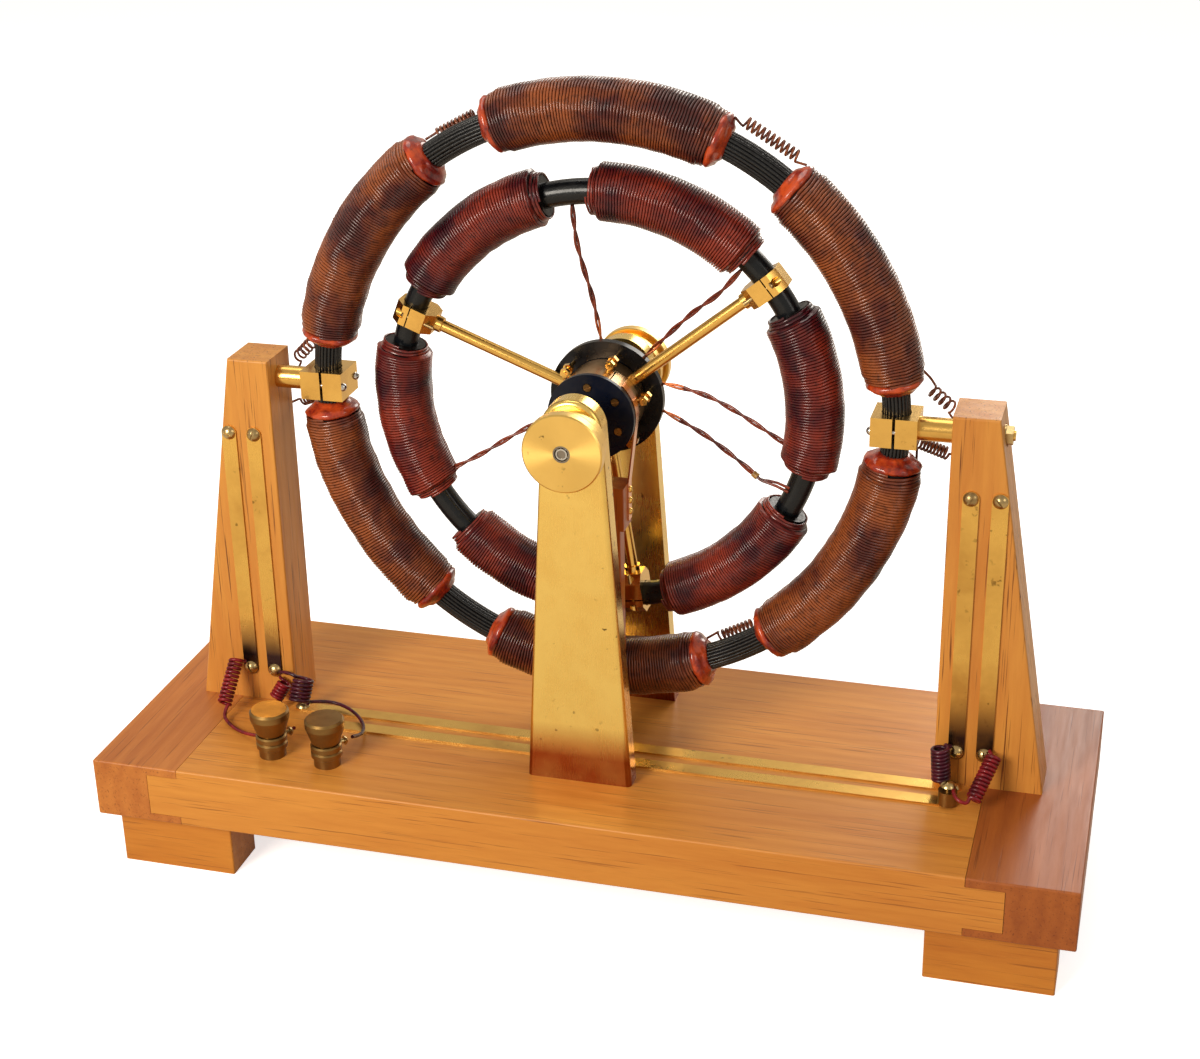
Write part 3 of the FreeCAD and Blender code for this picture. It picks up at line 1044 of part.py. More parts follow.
faults = [item.Name for item in doc.Objects if {"Invalid", "Error"} & set(item.State)]
faults += [item.Label for item in sub_parts if item.Shape.isNull() or not item.Shape.isValid()]
if faults:
    raise SystemExit(f"failed objects: {faults}")
for item in sub_parts:
    item.Shape.exportStep(f"parts/{item.Label}.step")
print(len(sub_parts), "sub-parts written")
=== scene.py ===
import bpy
import math
from mathutils import Euler, Matrix, Vector


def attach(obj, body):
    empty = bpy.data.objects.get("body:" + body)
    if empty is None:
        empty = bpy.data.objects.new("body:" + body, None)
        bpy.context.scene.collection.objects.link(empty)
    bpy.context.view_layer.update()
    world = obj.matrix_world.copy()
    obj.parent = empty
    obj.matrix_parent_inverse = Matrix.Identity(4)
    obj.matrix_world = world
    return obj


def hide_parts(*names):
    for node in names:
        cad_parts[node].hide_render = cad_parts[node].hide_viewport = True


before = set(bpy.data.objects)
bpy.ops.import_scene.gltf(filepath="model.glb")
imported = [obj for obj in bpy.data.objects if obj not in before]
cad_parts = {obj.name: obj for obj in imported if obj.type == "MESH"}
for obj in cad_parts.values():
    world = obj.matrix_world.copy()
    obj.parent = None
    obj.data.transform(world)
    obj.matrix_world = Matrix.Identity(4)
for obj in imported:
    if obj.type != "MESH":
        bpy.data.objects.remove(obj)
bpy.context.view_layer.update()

# Main measures in metres: heights, the rings' middle planes and their radii
MM = 0.001
AXLE = 0.2946
BASE_TOP = 0.0755
STATOR_PLANE = 0.009
ROTOR_PLANE = 0.0125
STATOR_RADIUS = 0.1731
ROTOR_RADIUS = 0.1257

# Camera, solved from the photograph: metres, degrees and a lens in millimetres
CAMERA_PLACE = (0.3164, -1.0946, 0.7241)
CAMERA_YAW = -16.163
CAMERA_PITCH = -24.106
CAMERA_ROLL = -1.130
CAMERA_LENS = 62.4
CAMERA_SENSOR = 36
CAMERA_SHIFT = (0.0004, 0.0028)


def srgb(red, green, blue):
    """Linear colour from the 0 to 255 values of a screen colour."""
    def linear(value):
        value /= 255
        return value / 12.92 if value <= 0.04045 else ((value + 0.055) / 1.055) ** 2.4
    return (linear(red), linear(green), linear(blue), 1)


def deselect():
    if bpy.context.object and bpy.context.object.mode != "OBJECT":
        bpy.ops.object.mode_set(mode="OBJECT")
    bpy.ops.object.select_all(action="DESELECT")


def choose(*pieces):
    deselect()
    for piece in pieces:
        piece.select_set(True)
    bpy.context.view_layer.objects.active = pieces[0]


def apply_modifiers(piece):
    choose(piece)
    for modifier in list(piece.modifiers):
        bpy.ops.object.modifier_apply(modifier=modifier.name)


def settle(piece):
    """Writes the piece's place into its mesh."""
    choose(piece)
    bpy.ops.object.transform_apply(location=True, rotation=True, scale=True)


def dress(piece, material):
    piece.data.materials.clear()
    piece.data.materials.append(material)


def smooth(piece, degrees=40):
    choose(piece)
    bpy.ops.object.shade_smooth_by_angle(angle=math.radians(degrees))


def outward(piece):
    choose(piece)
    bpy.ops.object.mode_set(mode="EDIT")
    bpy.ops.mesh.select_all(action="SELECT")
    bpy.ops.mesh.remove_doubles(threshold=1e-6)
    bpy.ops.mesh.normals_make_consistent(inside=False)
    bpy.ops.object.mode_set(mode="OBJECT")


def join(name, pieces):
    choose(*pieces)
    if len(pieces) > 1:
        bpy.ops.object.join()
    whole = bpy.context.view_layer.objects.active
    whole.name = name
    return whole


def hand_over(piece, body, slot, *nodes):
    """Rides on a body and stands for CAD nodes, which it hides; the slot is not used."""
    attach(piece, body)
    if nodes:
        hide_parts(*nodes)


# Shared effects, built once as node groups
def new_group(name, inputs, outputs):
    group = bpy.data.node_groups.new(name, "ShaderNodeTree")
    for label, kind, value in inputs:
        made = group.interface.new_socket(label, in_out="INPUT", socket_type=kind)
        if value is not None:
            made.default_value = value
    for label, kind in outputs:
        group.interface.new_socket(label, in_out="OUTPUT", socket_type=kind)
    return group, group.nodes.new("NodeGroupInput"), group.nodes.new("NodeGroupOutput")


def put(tree, kind, links=None, **settings):
    """Adds a node, sets its properties and links its inputs."""
    node = tree.nodes.new(kind)
    for key, value in settings.items():
        setattr(node, key, value)
    for socket, source in (links or {}).items():
        if isinstance(source, bpy.types.NodeSocket):
            tree.links.new(source, node.inputs[socket])
        else:
            node.inputs[socket].default_value = source
    return node


def span(tree, value, low, high, to_low=0.0, to_high=1.0):
    """Value remapped from one span to another, clamped."""
    return put(tree, "ShaderNodeMapRange",
               {"Value": value, "From Min": low, "From Max": high,
                "To Min": to_low, "To Max": to_high}).outputs["Result"]


# Sockets of a Mix node that mixes colours
MIX_SHARE, MIX_FIRST, MIX_SECOND, MIX_RESULT = 0, 6, 7, 2


def mix(tree, share, first, second):
    """The first colour, with a share of the second."""
    node = put(tree, "ShaderNodeMix", {MIX_SHARE: share, MIX_FIRST: first, MIX_SECOND: second},
               data_type="RGBA", blend_type="MIX")
    return node.outputs[MIX_RESULT]


def combine(tree, operation, first, second):
    return put(tree, "ShaderNodeMath", {0: first, 1: second}, operation=operation).outputs[0]


def noise(tree, vector, scale, detail, rough=0.5, distortion=0.0):
    return put(tree, "ShaderNodeTexNoise", {"Vector": vector, "Scale": scale, "Detail": detail,
                                            "Roughness": rough, "Distortion": distortion}
               ).outputs["Fac"]


def make_grain_group():
    """Wood: soft figure, fine lines along the grain and short dark pores."""
    group, given, made = new_group(
        "wood_grain",
        [("Vector", "NodeSocketVector", None), ("Light", "NodeSocketColor", None),
         ("Dark", "NodeSocketColor", None), ("Pore", "NodeSocketColor", None),
         ("Pores", "NodeSocketFloat", 0.5)],
        [("Color", "NodeSocketColor"), ("Height", "NodeSocketFloat"), ("Rough", "NodeSocketFloat")])
    vector = given.outputs["Vector"]
    figure = put(group, "ShaderNodeTexWave",
                 {"Vector": vector, "Scale": 1.1, "Distortion": 9.0, "Detail": 4.0,
                  "Detail Scale": 0.7, "Detail Roughness": 0.55},
                 wave_type="BANDS", bands_direction="Y").outputs["Fac"]
    broad = noise(group, vector, 0.9, 3.0, 0.5, 0.4)
    fine = noise(group, vector, 9.0, 5.0, 0.65, 0.2)
    bands = combine(group, "MULTIPLY", figure, 0.22)
    soft = combine(group, "MULTIPLY", span(group, broad, 0.3, 0.7), 0.42)
    lines = combine(group, "MULTIPLY", span(group, fine, 0.3, 0.72), 0.34)
    share = combine(group, "ADD", combine(group, "ADD", bands, soft), lines)
    tint = mix(group, share, given.outputs["Light"], given.outputs["Dark"])
    stretched = put(group, "ShaderNodeVectorMath", {0: vector, 1: (0.55, 2.6, 2.6)},
                    operation="MULTIPLY").outputs[0]
    specks = noise(group, stretched, 11.0, 2.0, 0.6)
    pores = combine(group, "MULTIPLY", span(group, specks, 0.60, 0.70), given.outputs["Pores"])
    group.links.new(mix(group, pores, tint, given.outputs["Pore"]), made.inputs["Color"])
    height = combine(group, "SUBTRACT", combine(group, "MULTIPLY", fine, 0.35), pores)
    group.links.new(height, made.inputs["Height"])
    group.links.new(span(group, fine, 0.3, 0.7, 0.34, 0.5), made.inputs["Rough"])
    return group


def make_metal_group():
    """Metal: brushed lines, cloudy tarnish, and small dark pits."""
    group, given, made = new_group(
        "metal_wear",
        [("Vector", "NodeSocketVector", None), ("Brush", "NodeSocketVector", None),
         ("Bright", "NodeSocketColor", None), ("Dull", "NodeSocketColor", None),
         ("Pit", "NodeSocketColor", None), ("Low", "NodeSocketFloat", 0.2),
         ("High", "NodeSocketFloat", 0.4), ("Tarnish", "NodeSocketFloat", 0.5),
         ("Pits", "NodeSocketFloat", 0.5)],
        [("Color", "NodeSocketColor"), ("Height", "NodeSocketFloat"), ("Rough", "NodeSocketFloat")])
    vector = given.outputs["Vector"]
    cloud = noise(group, vector, 26.0, 4.0, 0.6, 0.3)
    lines = noise(group, given.outputs["Brush"], 40.0, 3.0, 0.6)
    dull = combine(group, "MULTIPLY", span(group, cloud, 0.42, 0.72), given.outputs["Tarnish"])
    tint = mix(group, dull, given.outputs["Bright"], given.outputs["Dull"])
    specks = noise(group, vector, 190.0, 2.0, 0.5)
    rare = noise(group, vector, 37.0, 1.0, 0.5)
    pits = combine(group, "MULTIPLY", span(group, specks, 0.66, 0.72), span(group, rare, 0.5, 0.62))
    pits = combine(group, "MULTIPLY", pits, given.outputs["Pits"])
    group.links.new(mix(group, pits, tint, given.outputs["Pit"]), made.inputs["Color"])
    rough = span(group, combine(group, "ADD", dull, lines), 0.3, 1.1, given.outputs["Low"],
                 given.outputs["High"])
    group.links.new(rough, made.inputs["Rough"])
    group.links.new(combine(group, "SUBTRACT", lines, pits), made.inputs["Height"])
    return group


def make_varnish_group():
    """Varnished windings: patches of colour, dark hollows and a cotton thread's fine ribs."""
    group, given, made = new_group(
        "varnish_patches",
        [("Vector", "NodeSocketVector", None), ("Light", "NodeSocketColor", None),
         ("Middle", "NodeSocketColor", None), ("Dark", "NodeSocketColor", None),
         ("Patches", "NodeSocketFloat", 30.0)],
        [("Color", "NodeSocketColor"), ("Height", "NodeSocketFloat"), ("Rough", "NodeSocketFloat")])
    vector = given.outputs["Vector"]
    patch = noise(group, vector, given.outputs["Patches"], 3.0, 0.6)
    small = noise(group, vector, 260.0, 3.0, 0.6)
    tint = mix(group, span(group, patch, 0.4, 0.6), given.outputs["Light"],
               given.outputs["Middle"])
    tint = mix(group, span(group, patch, 0.58, 0.72, 0.0, 0.7), tint, given.outputs["Dark"])
    tint = mix(group, span(group, small, 0.5, 0.72, 0.0, 0.6), tint, given.outputs["Dark"])
    group.links.new(tint, made.inputs["Color"])
    threads = noise(group, vector, 900.0, 2.0, 0.5)
    group.links.new(threads, made.inputs["Height"])
    group.links.new(span(group, small, 0.3, 0.7, 0.22, 0.5), made.inputs["Rough"])
    return group


GRAIN = make_grain_group()
METAL = make_metal_group()
VARNISH = make_varnish_group()


def blank_material(name):
    material = bpy.data.materials.new(name)
    material.use_nodes = True
    tree = material.node_tree
    tree.nodes.clear()
    shader = tree.nodes.new("ShaderNodeBsdfPrincipled")
    end = tree.nodes.new("ShaderNodeOutputMaterial")
    tree.links.new(shader.outputs["BSDF"], end.inputs["Surface"])
    return material, tree, shader


def object_place(tree):
    return tree.nodes.new("ShaderNodeTexCoord").outputs["Object"]


def object_vector(tree, scale=(1, 1, 1), turn=(0, 0, 0), shift=(0, 0, 0)):
    return put(tree, "ShaderNodeMapping", {"Vector": object_place(tree), "Scale": scale,
                                           "Rotation": turn, "Location": shift}).outputs["Vector"]


def give_bump(tree, shader, height, strength, distance):
    bump = put(tree, "ShaderNodeBump", {"Height": height, "Strength": strength,
                                        "Distance": distance})
    tree.links.new(bump.outputs["Normal"], shader.inputs["Normal"])


def give_effect(tree, shader, effect, strength, distance):
    """Feeds an effect's colour, roughness and relief to the shader."""
    tree.links.new(effect.outputs["Color"], shader.inputs["Base Color"])
    tree.links.new(effect.outputs["Rough"], shader.inputs["Roughness"])
    give_bump(tree, shader, effect.outputs["Height"], strength, distance)


# The turn that brings each grain to X, and how fine the grain is along and across
GRAIN_TURN = {"x": (0, 0, 0), "y": (0, 0, math.radians(90)), "z": (0, math.radians(90), 0)}
GRAIN_STRETCH = (2.6, 26, 26)


def wood(name, along, light, dark, pore, pores=0.55, shift=(0, 0, 0), coat=0.15):
    material, tree, shader = blank_material(name)
    turned = object_vector(tree, turn=GRAIN_TURN[along], shift=shift)
    vector = put(tree, "ShaderNodeVectorMath", {0: turned, 1: GRAIN_STRETCH},
                 operation="MULTIPLY").outputs[0]
    grain = put(tree, "ShaderNodeGroup", {"Vector": vector, "Light": light, "Dark": dark,
                                          "Pore": pore, "Pores": pores}, node_tree=GRAIN)
    give_effect(tree, shader, grain, 0.25, 0.4 * MM)
    shader.inputs["Specular IOR Level"].default_value = 0.3
    shader.inputs["Coat Weight"].default_value = coat
    shader.inputs["Coat Roughness"].default_value = 0.25
    return material


def painted_shadow_low_on_strips(tree):
    """Mask of the painted shadow low on the upright strips, beside their lower screws."""
    place = object_place(tree)
    height = put(tree, "ShaderNodeSeparateXYZ", {"Vector": place}).outputs["Z"]
    rising = span(tree, height, 0.080, 0.082)
    fading = span(tree, height, 0.108, 0.136, 1.0, 0.0)
    ragged = span(tree, noise(tree, place, 60.0, 4.0), 0.2, 0.5, 0.7, 1.0)
    return combine(tree, "MULTIPLY", combine(tree, "MULTIPLY", rising, fading), ragged)


def painted_reflection_low_on_columns(tree):
    """Mask of the painted reflection of the brown board, low on both columns."""
    place = object_place(tree)
    height = put(tree, "ShaderNodeSeparateXYZ", {"Vector": place}).outputs["Z"]
    fading = span(tree, height, 0.092, 0.114, 1.0, 0.0)
    ragged = span(tree, noise(tree, place, 40.0, 4.0), 0.2, 0.6, 0.8, 1.0)
    return combine(tree, "MULTIPLY", fading, ragged)


def draw_out_shine(tree, shader):
    """Shine drawn out across the rings that the lathe left on the housings."""
    tangent = put(tree, "ShaderNodeTangent", direction_type="RADIAL", axis="Y")
    tree.links.new(tangent.outputs["Tangent"], shader.inputs["Tangent"])
    shader.inputs["Anisotropic"].default_value = 0.8


def metal(name, bright, dull, low, high, brush=(24, 24, 24), tarnish=0.6, pits=0.4,
          pit=srgb(70, 45, 20), painted_light=None, turned=False):
    """Worn metal, its roughness from low to high; a given mask and colour are laid over it as
    painted light, a painted shadow or a painted reflection.
    """
    material, tree, shader = blank_material(name)
    wear = put(tree, "ShaderNodeGroup",
               {"Vector": object_vector(tree), "Brush": object_vector(tree, scale=brush),
                "Bright": bright, "Dull": dull, "Pit": pit, "Low": low, "High": high,
                "Tarnish": tarnish, "Pits": pits}, node_tree=METAL)
    give_effect(tree, shader, wear, 0.012, 0.2 * MM)
    shader.inputs["Metallic"].default_value = 1
    # Painted light, a shadow or a reflection for each metal: the mask's colour laid over the worn
    # colour
    if painted_light:
        mask, tint = painted_light
        tree.links.new(mix(tree, mask(tree), wear.outputs["Color"], tint),
                       shader.inputs["Base Color"])
    if turned:
        draw_out_shine(tree, shader)
    return material


def varnished(name, light, middle, dark, patches=30.0, *, coat, bump=0.25):
    material, tree, shader = blank_material(name)
    skin = put(tree, "ShaderNodeGroup", {"Vector": object_vector(tree), "Light": light,
                                         "Middle": middle, "Dark": dark, "Patches": patches},
               node_tree=VARNISH)
    give_effect(tree, shader, skin, bump, 0.3 * MM)
    shader.inputs["Specular IOR Level"].default_value = 0.2
    shader.inputs["Coat Weight"].default_value = coat
    shader.inputs["Coat Roughness"].default_value = 0.13
    return material


# Woods
board_wood = wood("board_wood", "x", srgb(224, 154, 66), srgb(192, 116, 44), srgb(114, 60, 22))
left_wood = wood("left_batten_wood", "y", srgb(206, 130, 58), srgb(168, 92, 38),
                 srgb(108, 54, 22), shift=(0.3, 0.1, 0))
# Right batten: the batten wood made darker, as painted shade on the motor's right end
right_wood_painted_shade = wood("right_batten_wood_painted_shade", "y", srgb(176, 98, 40), srgb(136, 66, 26),
                  srgb(90, 40, 16), shift=(0.9, 0.4, 0))
feet_wood = wood("feet_wood", "x", srgb(214, 140, 52), srgb(176, 98, 32), srgb(110, 58, 20))
post_wood = wood("post_wood", "z", srgb(222, 156, 70), srgb(188, 114, 46), srgb(104, 54, 22),
                 pores=0.95)
block_wood = wood("block_wood", "z", srgb(206, 108, 38), srgb(156, 70, 24), srgb(92, 40, 16),
                  coat=0.3)

# Metals
# Column brass, browner towards the foot: a painted reflection of the wooden board
column_brass = metal("column_brass", srgb(242, 208, 118), srgb(220, 174, 84), 0.2, 0.34,
                     brush=(60, 8, 2), tarnish=0.5, pits=0.9,
                     painted_light=(painted_reflection_low_on_columns, srgb(142, 70, 30)))
turned_brass = metal("turned_brass", srgb(238, 200, 114), srgb(208, 162, 78), 0.28, 0.36,
                     tarnish=0.3, pits=0.9, turned=True)
fitting_brass = metal("fitting_brass", srgb(226, 182, 98), srgb(170, 122, 56), 0.16, 0.3,
                      tarnish=0.5)
screw_brass = metal("screw_brass", srgb(188, 164, 116), srgb(108, 82, 48), 0.2, 0.36,
                    tarnish=0.9, pits=0.6)
disc_screw_brass = metal("disc_screw_brass", srgb(150, 116, 74), srgb(90, 66, 42), 0.26, 0.42,
                         tarnish=0.9)
terminal_brass = metal("terminal_brass", srgb(146, 114, 66), srgb(98, 72, 40), 0.34, 0.46,
                       tarnish=0.8, pits=0.3)
# Strip brass, dark low down beside the lower screws: a painted shadow
strip_brass = metal("strip_brass", srgb(228, 184, 96), srgb(184, 136, 66), 0.24, 0.4,
                    brush=(60, 60, 2), tarnish=0.7, pits=0.6,
                    painted_light=(painted_shadow_low_on_strips, srgb(58, 44, 44)))
leaf_brass = metal("leaf_brass", srgb(222, 160, 118), srgb(180, 116, 78), 0.2, 0.34)
segment_brass = metal("segment_brass", srgb(220, 180, 128), srgb(150, 108, 70), 0.2, 0.36,
                      brush=(4, 90, 4), tarnish=0.8)
copper = metal("bare_copper", srgb(206, 120, 76), srgb(140, 70, 42), 0.25, 0.45)
steel = metal("bright_steel", srgb(200, 200, 198), srgb(140, 136, 128), 0.14, 0.3,
              pit=srgb(60, 55, 50))
shaft_steel = metal("shaft_steel", srgb(140, 132, 120), srgb(80, 70, 60), 0.3, 0.45,
                    pit=srgb(60, 40, 30))

# Windings, wires and hard rubber
stator_varnish = varnished("stator_varnish", srgb(148, 78, 40), srgb(86, 34, 28),
                           srgb(28, 10, 14), 26.0, coat=0.5)
rotor_varnish = varnished("rotor_varnish", srgb(138, 48, 32), srgb(68, 12, 24),
                          srgb(18, 5, 14), 24.0, coat=0.55)
collar_wax = varnished("collar_wax", srgb(196, 74, 30), srgb(140, 34, 22), srgb(48, 10, 14),
                       90.0, coat=0.7, bump=0.1)
core_black = varnished("core_black", srgb(16, 18, 22), srgb(8, 9, 12), srgb(3, 3, 5),
                       60.0, coat=0.5, bump=0.8)
core_wrap = varnished("core_wrap", srgb(8, 13, 18), srgb(4, 7, 11), srgb(2, 3, 5), 60.0,
                      coat=0.3, bump=0.5)
# Near-black filler under the turns: painted shade in the gaps between turns and in the coils'
# hollow ends
painted_shade_under_turns = varnished("painted_shade_under_winding", srgb(10, 4, 4), srgb(7, 3, 3), srgb(4, 2, 2), coat=0)
lead_red = varnished("lead_red", srgb(140, 26, 34), srgb(100, 16, 28), srgb(46, 8, 18), 90.0,
                     coat=0.25)
lead_purple = varnished("lead_purple", srgb(86, 20, 40), srgb(54, 12, 30), srgb(22, 6, 16),
                        90.0, coat=0.25)
pair_brown = varnished("pair_brown", srgb(136, 56, 32), srgb(92, 30, 20), srgb(42, 14, 12),
                       120.0, coat=0.4)
pigtail_brown = varnished("pigtail_brown", srgb(140, 74, 38), srgb(96, 40, 22),
                          srgb(52, 18, 14), 120.0, coat=0.4)
tie_yellow = varnished("tie_yellow", srgb(200, 160, 90), srgb(160, 118, 60), srgb(110, 76, 36),
                       200.0, coat=0.1)


def hard_rubber(name, tint, rough):
    material, tree, shader = blank_material(name)
    vector = object_vector(tree)
    cloud = noise(tree, vector, 70.0, 4.0, 0.6)
    tree.links.new(mix(tree, span(tree, cloud, 0.5, 0.8), tint, srgb(30, 30, 36)),
                   shader.inputs["Base Color"])
    tree.links.new(span(tree, cloud, 0.3, 0.7, rough, rough + 0.16), shader.inputs["Roughness"])
    shader.inputs["Specular IOR Level"].default_value = 0.22
    give_bump(tree, shader, noise(tree, vector, 420.0, 3.0, 0.6), 0.06, 0.0002)
    return material


navy_rubber = hard_rubber("navy_rubber", srgb(6, 14, 32), 0.22)
black_rubber = hard_rubber("black_rubber", srgb(8, 10, 14), 0.2)

NODE_MATERIALS = {
    "base_board": board_wood, "end_batten_left": left_wood, "end_batten_right": right_wood_painted_shade,
    "feet": feet_wood, "post_left": post_wood, "post_right": post_wood,
    "brush_block": block_wood, "conductor_strips": strip_brass, "small_screws": screw_brass,
    "base_stud": terminal_brass, "stator_clamps": fitting_brass,
    "stator_clamp_screws": steel, "clamp_rods": fitting_brass, "rod_nuts": screw_brass,
    "column_front": column_brass, "column_rear": column_brass, "bearing_housings": turned_brass,
    "bearing_outer_rings": shaft_steel, "bearing_inner_rings": steel, "brush_left": leaf_brass,
    "brush_right": leaf_brass, "brush_screws": fitting_brass, "terminal_posts": terminal_brass,
    "terminal_washer_left": terminal_brass, "terminal_washer_right": terminal_brass,
    "terminal_knob_left": terminal_brass, "terminal_knob_right": terminal_brass,
    "shaft": shaft_steel, "hub": segment_brass, "insulating_sleeve": black_rubber,
    "commutator_segments": segment_brass, "disc_front": navy_rubber, "disc_rear": black_rubber,
    "disc_screws": disc_screw_brass, "spokes": fitting_brass, "rotor_clamps": fitting_brass,
    "rotor_clamp_screws": screw_brass, "segment_terminals": fitting_brass,
}
for node_name, material in NODE_MATERIALS.items():
    dress(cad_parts[node_name], material)


# Rings: a piece modelled at the top of a ring is turned to its angle
def turn_on_ring(piece, degrees, plane):
    piece.rotation_euler = (0, math.radians(90 - degrees), 0)
    piece.location = (0, plane, AXLE)
    settle(piece)


def flat_disc(sides, radius, across, behind=0):
    """Filled circle in the level plane through the shaft's axis."""
    deselect()
    bpy.ops.mesh.primitive_circle_add(vertices=sides, radius=radius, fill_type="NGON",
                                      location=(across, behind, 0))
    piece = bpy.context.object
    settle(piece)
    return piece


def spin_round_shaft(piece, start, end, plane, steps):
    """Spins a flat outline about the shaft's axis from one angle to another."""
    choose(piece)
    bpy.ops.object.mode_set(mode="EDIT")
    bpy.ops.mesh.select_all(action="SELECT")
    bpy.ops.mesh.spin(steps=steps, angle=math.radians(end - start), center=(0, 0, 0),
                      axis=(0, 1, 0))
    bpy.ops.object.mode_set(mode="OBJECT")
    outward(piece)
    went_down = piece.data.vertices[-1].co.z < 0
    piece.rotation_euler = (0, -math.radians(end if went_down else start), 0)
    piece.location = (0, plane, AXLE)
    settle(piece)


def ring_stretch(name, ring_radius, section, plane, start, end, sides=40, steps=24):
    """Round-section stretch of a ring."""
    piece = flat_disc(sides, section, ring_radius)
    spin_round_shaft(piece, start, end, plane, steps)
    piece.name = name
    smooth(piece)
    return piece


def make_uneven(piece, seed):
    """Applies the modifiers while the piece lies at its own place in the clouds."""
    piece.location = (seed, 0, 0)
    settle(piece)
    apply_modifiers(piece)
    piece.location = (-seed, 0, 0)
    settle(piece)


# Stator: gaps nearly at even steps, in degrees, with a collar on both sides of each
FREE_SHIFT, RIGHT_SHIFT, LEFT_SHIFT = -1.5, 0.7, -2
STATOR_GAPS = [RIGHT_SHIFT, 60 + FREE_SHIFT, 120 + FREE_SHIFT, 180 + LEFT_SHIFT,
               240 + FREE_SHIFT, 300 + FREE_SHIFT, 360 + RIGHT_SHIFT]
HALF_GAP = 6.0
COLLAR_LENGTH = 7.5 * MM
COLLAR_TURN = math.degrees(COLLAR_LENGTH / STATOR_RADIUS)

# Rotor: the first gap's angle, and half of the wide and the narrow gaps, which take turns
ROTOR_PHASE = 38.5
ROTOR_HALF_GAPS = (8.5, 6.0)

# Turns of wire: the wire's sides, the turns' pitch and the depth of a coil's last turns, both in
# radii of the wire, the reach of a coil's shoulder, and the size and strength of the unevenness
WIRE_SIDES = 7
TURN_PITCH = 2.2
LAST_TURNS = 2.2
SHOULDER = 4.5 * MM
UNEVEN = [("X", 0.011, 1.5 * MM), ("Y", 0.013, 1.3 * MM), ("Z", 0.013, 1.3 * MM)]

# Both rings' coils. The filler under the turns is given in degrees short of the coil's ends and
# radii in millimetres
RINGS = {
    "stator": {"body": "stand", "radius": STATOR_RADIUS, "plane": STATOR_PLANE,
               "coil": 18.15 * MM, "wire": 0.8 * MM, "steps": 44, "shoulder": 0.93,
               "varnish": stator_varnish, "filler": [(0.3, 15.2), (1.7, 16.7)]},
    "rotor": {"body": "rotor", "radius": ROTOR_RADIUS, "plane": ROTOR_PLANE,
              "coil": 17 * MM, "wire": 0.76 * MM, "steps": 42, "shoulder": 0.8,
              "varnish": rotor_varnish, "filler": [(0.5, 11.8), (1.3, 13.4), (2.4, 15.2)]},
}


def round_shoulder(coil, end, depth, share):
    """Draws a coil's last turns in to a share of their radius, and less so those beside them."""
    choose(coil)
    for element in (*coil.data.polygons, *coil.data.edges):
        element.select = False
    for vertex in coil.data.vertices:
        vertex.select = abs(vertex.co.x - end) < depth
    bpy.ops.object.mode_set(mode="EDIT")
    bpy.ops.transform.resize(value=(1, share, share), center_override=(end, 0, 0),
                             use_proportional_edit=True, proportional_size=SHOULDER,
                             proportional_edit_falloff="SPHERE")
    bpy.ops.object.mode_set(mode="OBJECT")


def winding(name, ring, start, end, seed):
    """Single layer of wire, wound straight, made uneven and then bent along the ring."""
    wire = ring["wire"]
    length = math.radians(end - start) * ring["radius"]
    turns = round((length - 2 * wire) / (TURN_PITCH * wire))
    deselect()
    bpy.ops.mesh.primitive_circle_add(vertices=WIRE_SIDES, radius=wire,
                                      location=(-length / 2 + wire, 0, ring["coil"] - wire),
                                      rotation=(math.radians(90), 0, 0))
    coil = bpy.context.object
    settle(coil)
    screw = coil.modifiers.new("screw", "SCREW")
    screw.axis = "X"
    screw.angle = math.radians(360)
    screw.screw_offset = (length - 2 * wire) / turns
    screw.iterations = turns
    screw.steps = screw.render_steps = ring["steps"]
    apply_modifiers(coil)
    bpy.ops.object.mode_set(mode="EDIT")
    bpy.ops.mesh.select_all(action="SELECT")
    bpy.ops.mesh.fill_holes(sides=WIRE_SIDES)
    bpy.ops.mesh.normals_make_consistent(inside=False)
    bpy.ops.object.mode_set(mode="OBJECT")
    for way in (1, -1):
        round_shoulder(coil, way * length / 2, LAST_TURNS * wire, ring["shoulder"])
    for axis, scale, strength in UNEVEN:
        wobble = bpy.data.textures.new(f"{name}_wobble_{axis}", "CLOUDS")
        wobble.noise_scale = scale
        shift = coil.modifiers.new(f"uneven_{axis}", "DISPLACE")
        shift.texture = wobble
        shift.texture_coords = "LOCAL"
        shift.direction = axis
        shift.strength = strength
    make_uneven(coil, seed)
    spread = [vertex.co.x for vertex in coil.data.vertices]
    bend = coil.modifiers.new("bend", "SIMPLE_DEFORM")
    bend.deform_method = "BEND"
    bend.deform_axis = "Z"
    bend.angle = -(max(spread) - min(spread)) / ring["radius"]
    apply_modifiers(coil)
    coil.rotation_euler = (math.radians(90), 0, 0)
    coil.location = (0, 0, ring["radius"])
    settle(coil)
    turn_on_ring(coil, (start + end) / 2, ring["plane"])
    coil.name = name
    smooth(coil, 80)
    return coil


def make_coil(kind, number, start, end, seed):
    """One coil's turns and the filler under them, near black as painted shade between the turns, in
    place of its solid.
    """
    ring = RINGS[kind]
    turns = winding(f"{kind}_winding_{number}", ring, start, end, seed)
    filler = join(f"{kind}_under_{number}", [
        ring_stretch(f"{kind}_filler_{number}_{less}", ring["radius"], reach * MM, ring["plane"],
                     start + less, end - less) for less, reach in ring["filler"]])
    node = f"{kind}_coil_{number}"
    for piece, material in ((turns, ring["varnish"]), (filler, painted_shade_under_turns)):
        dress(piece, material)
        hand_over(piece, ring["body"], node, node)


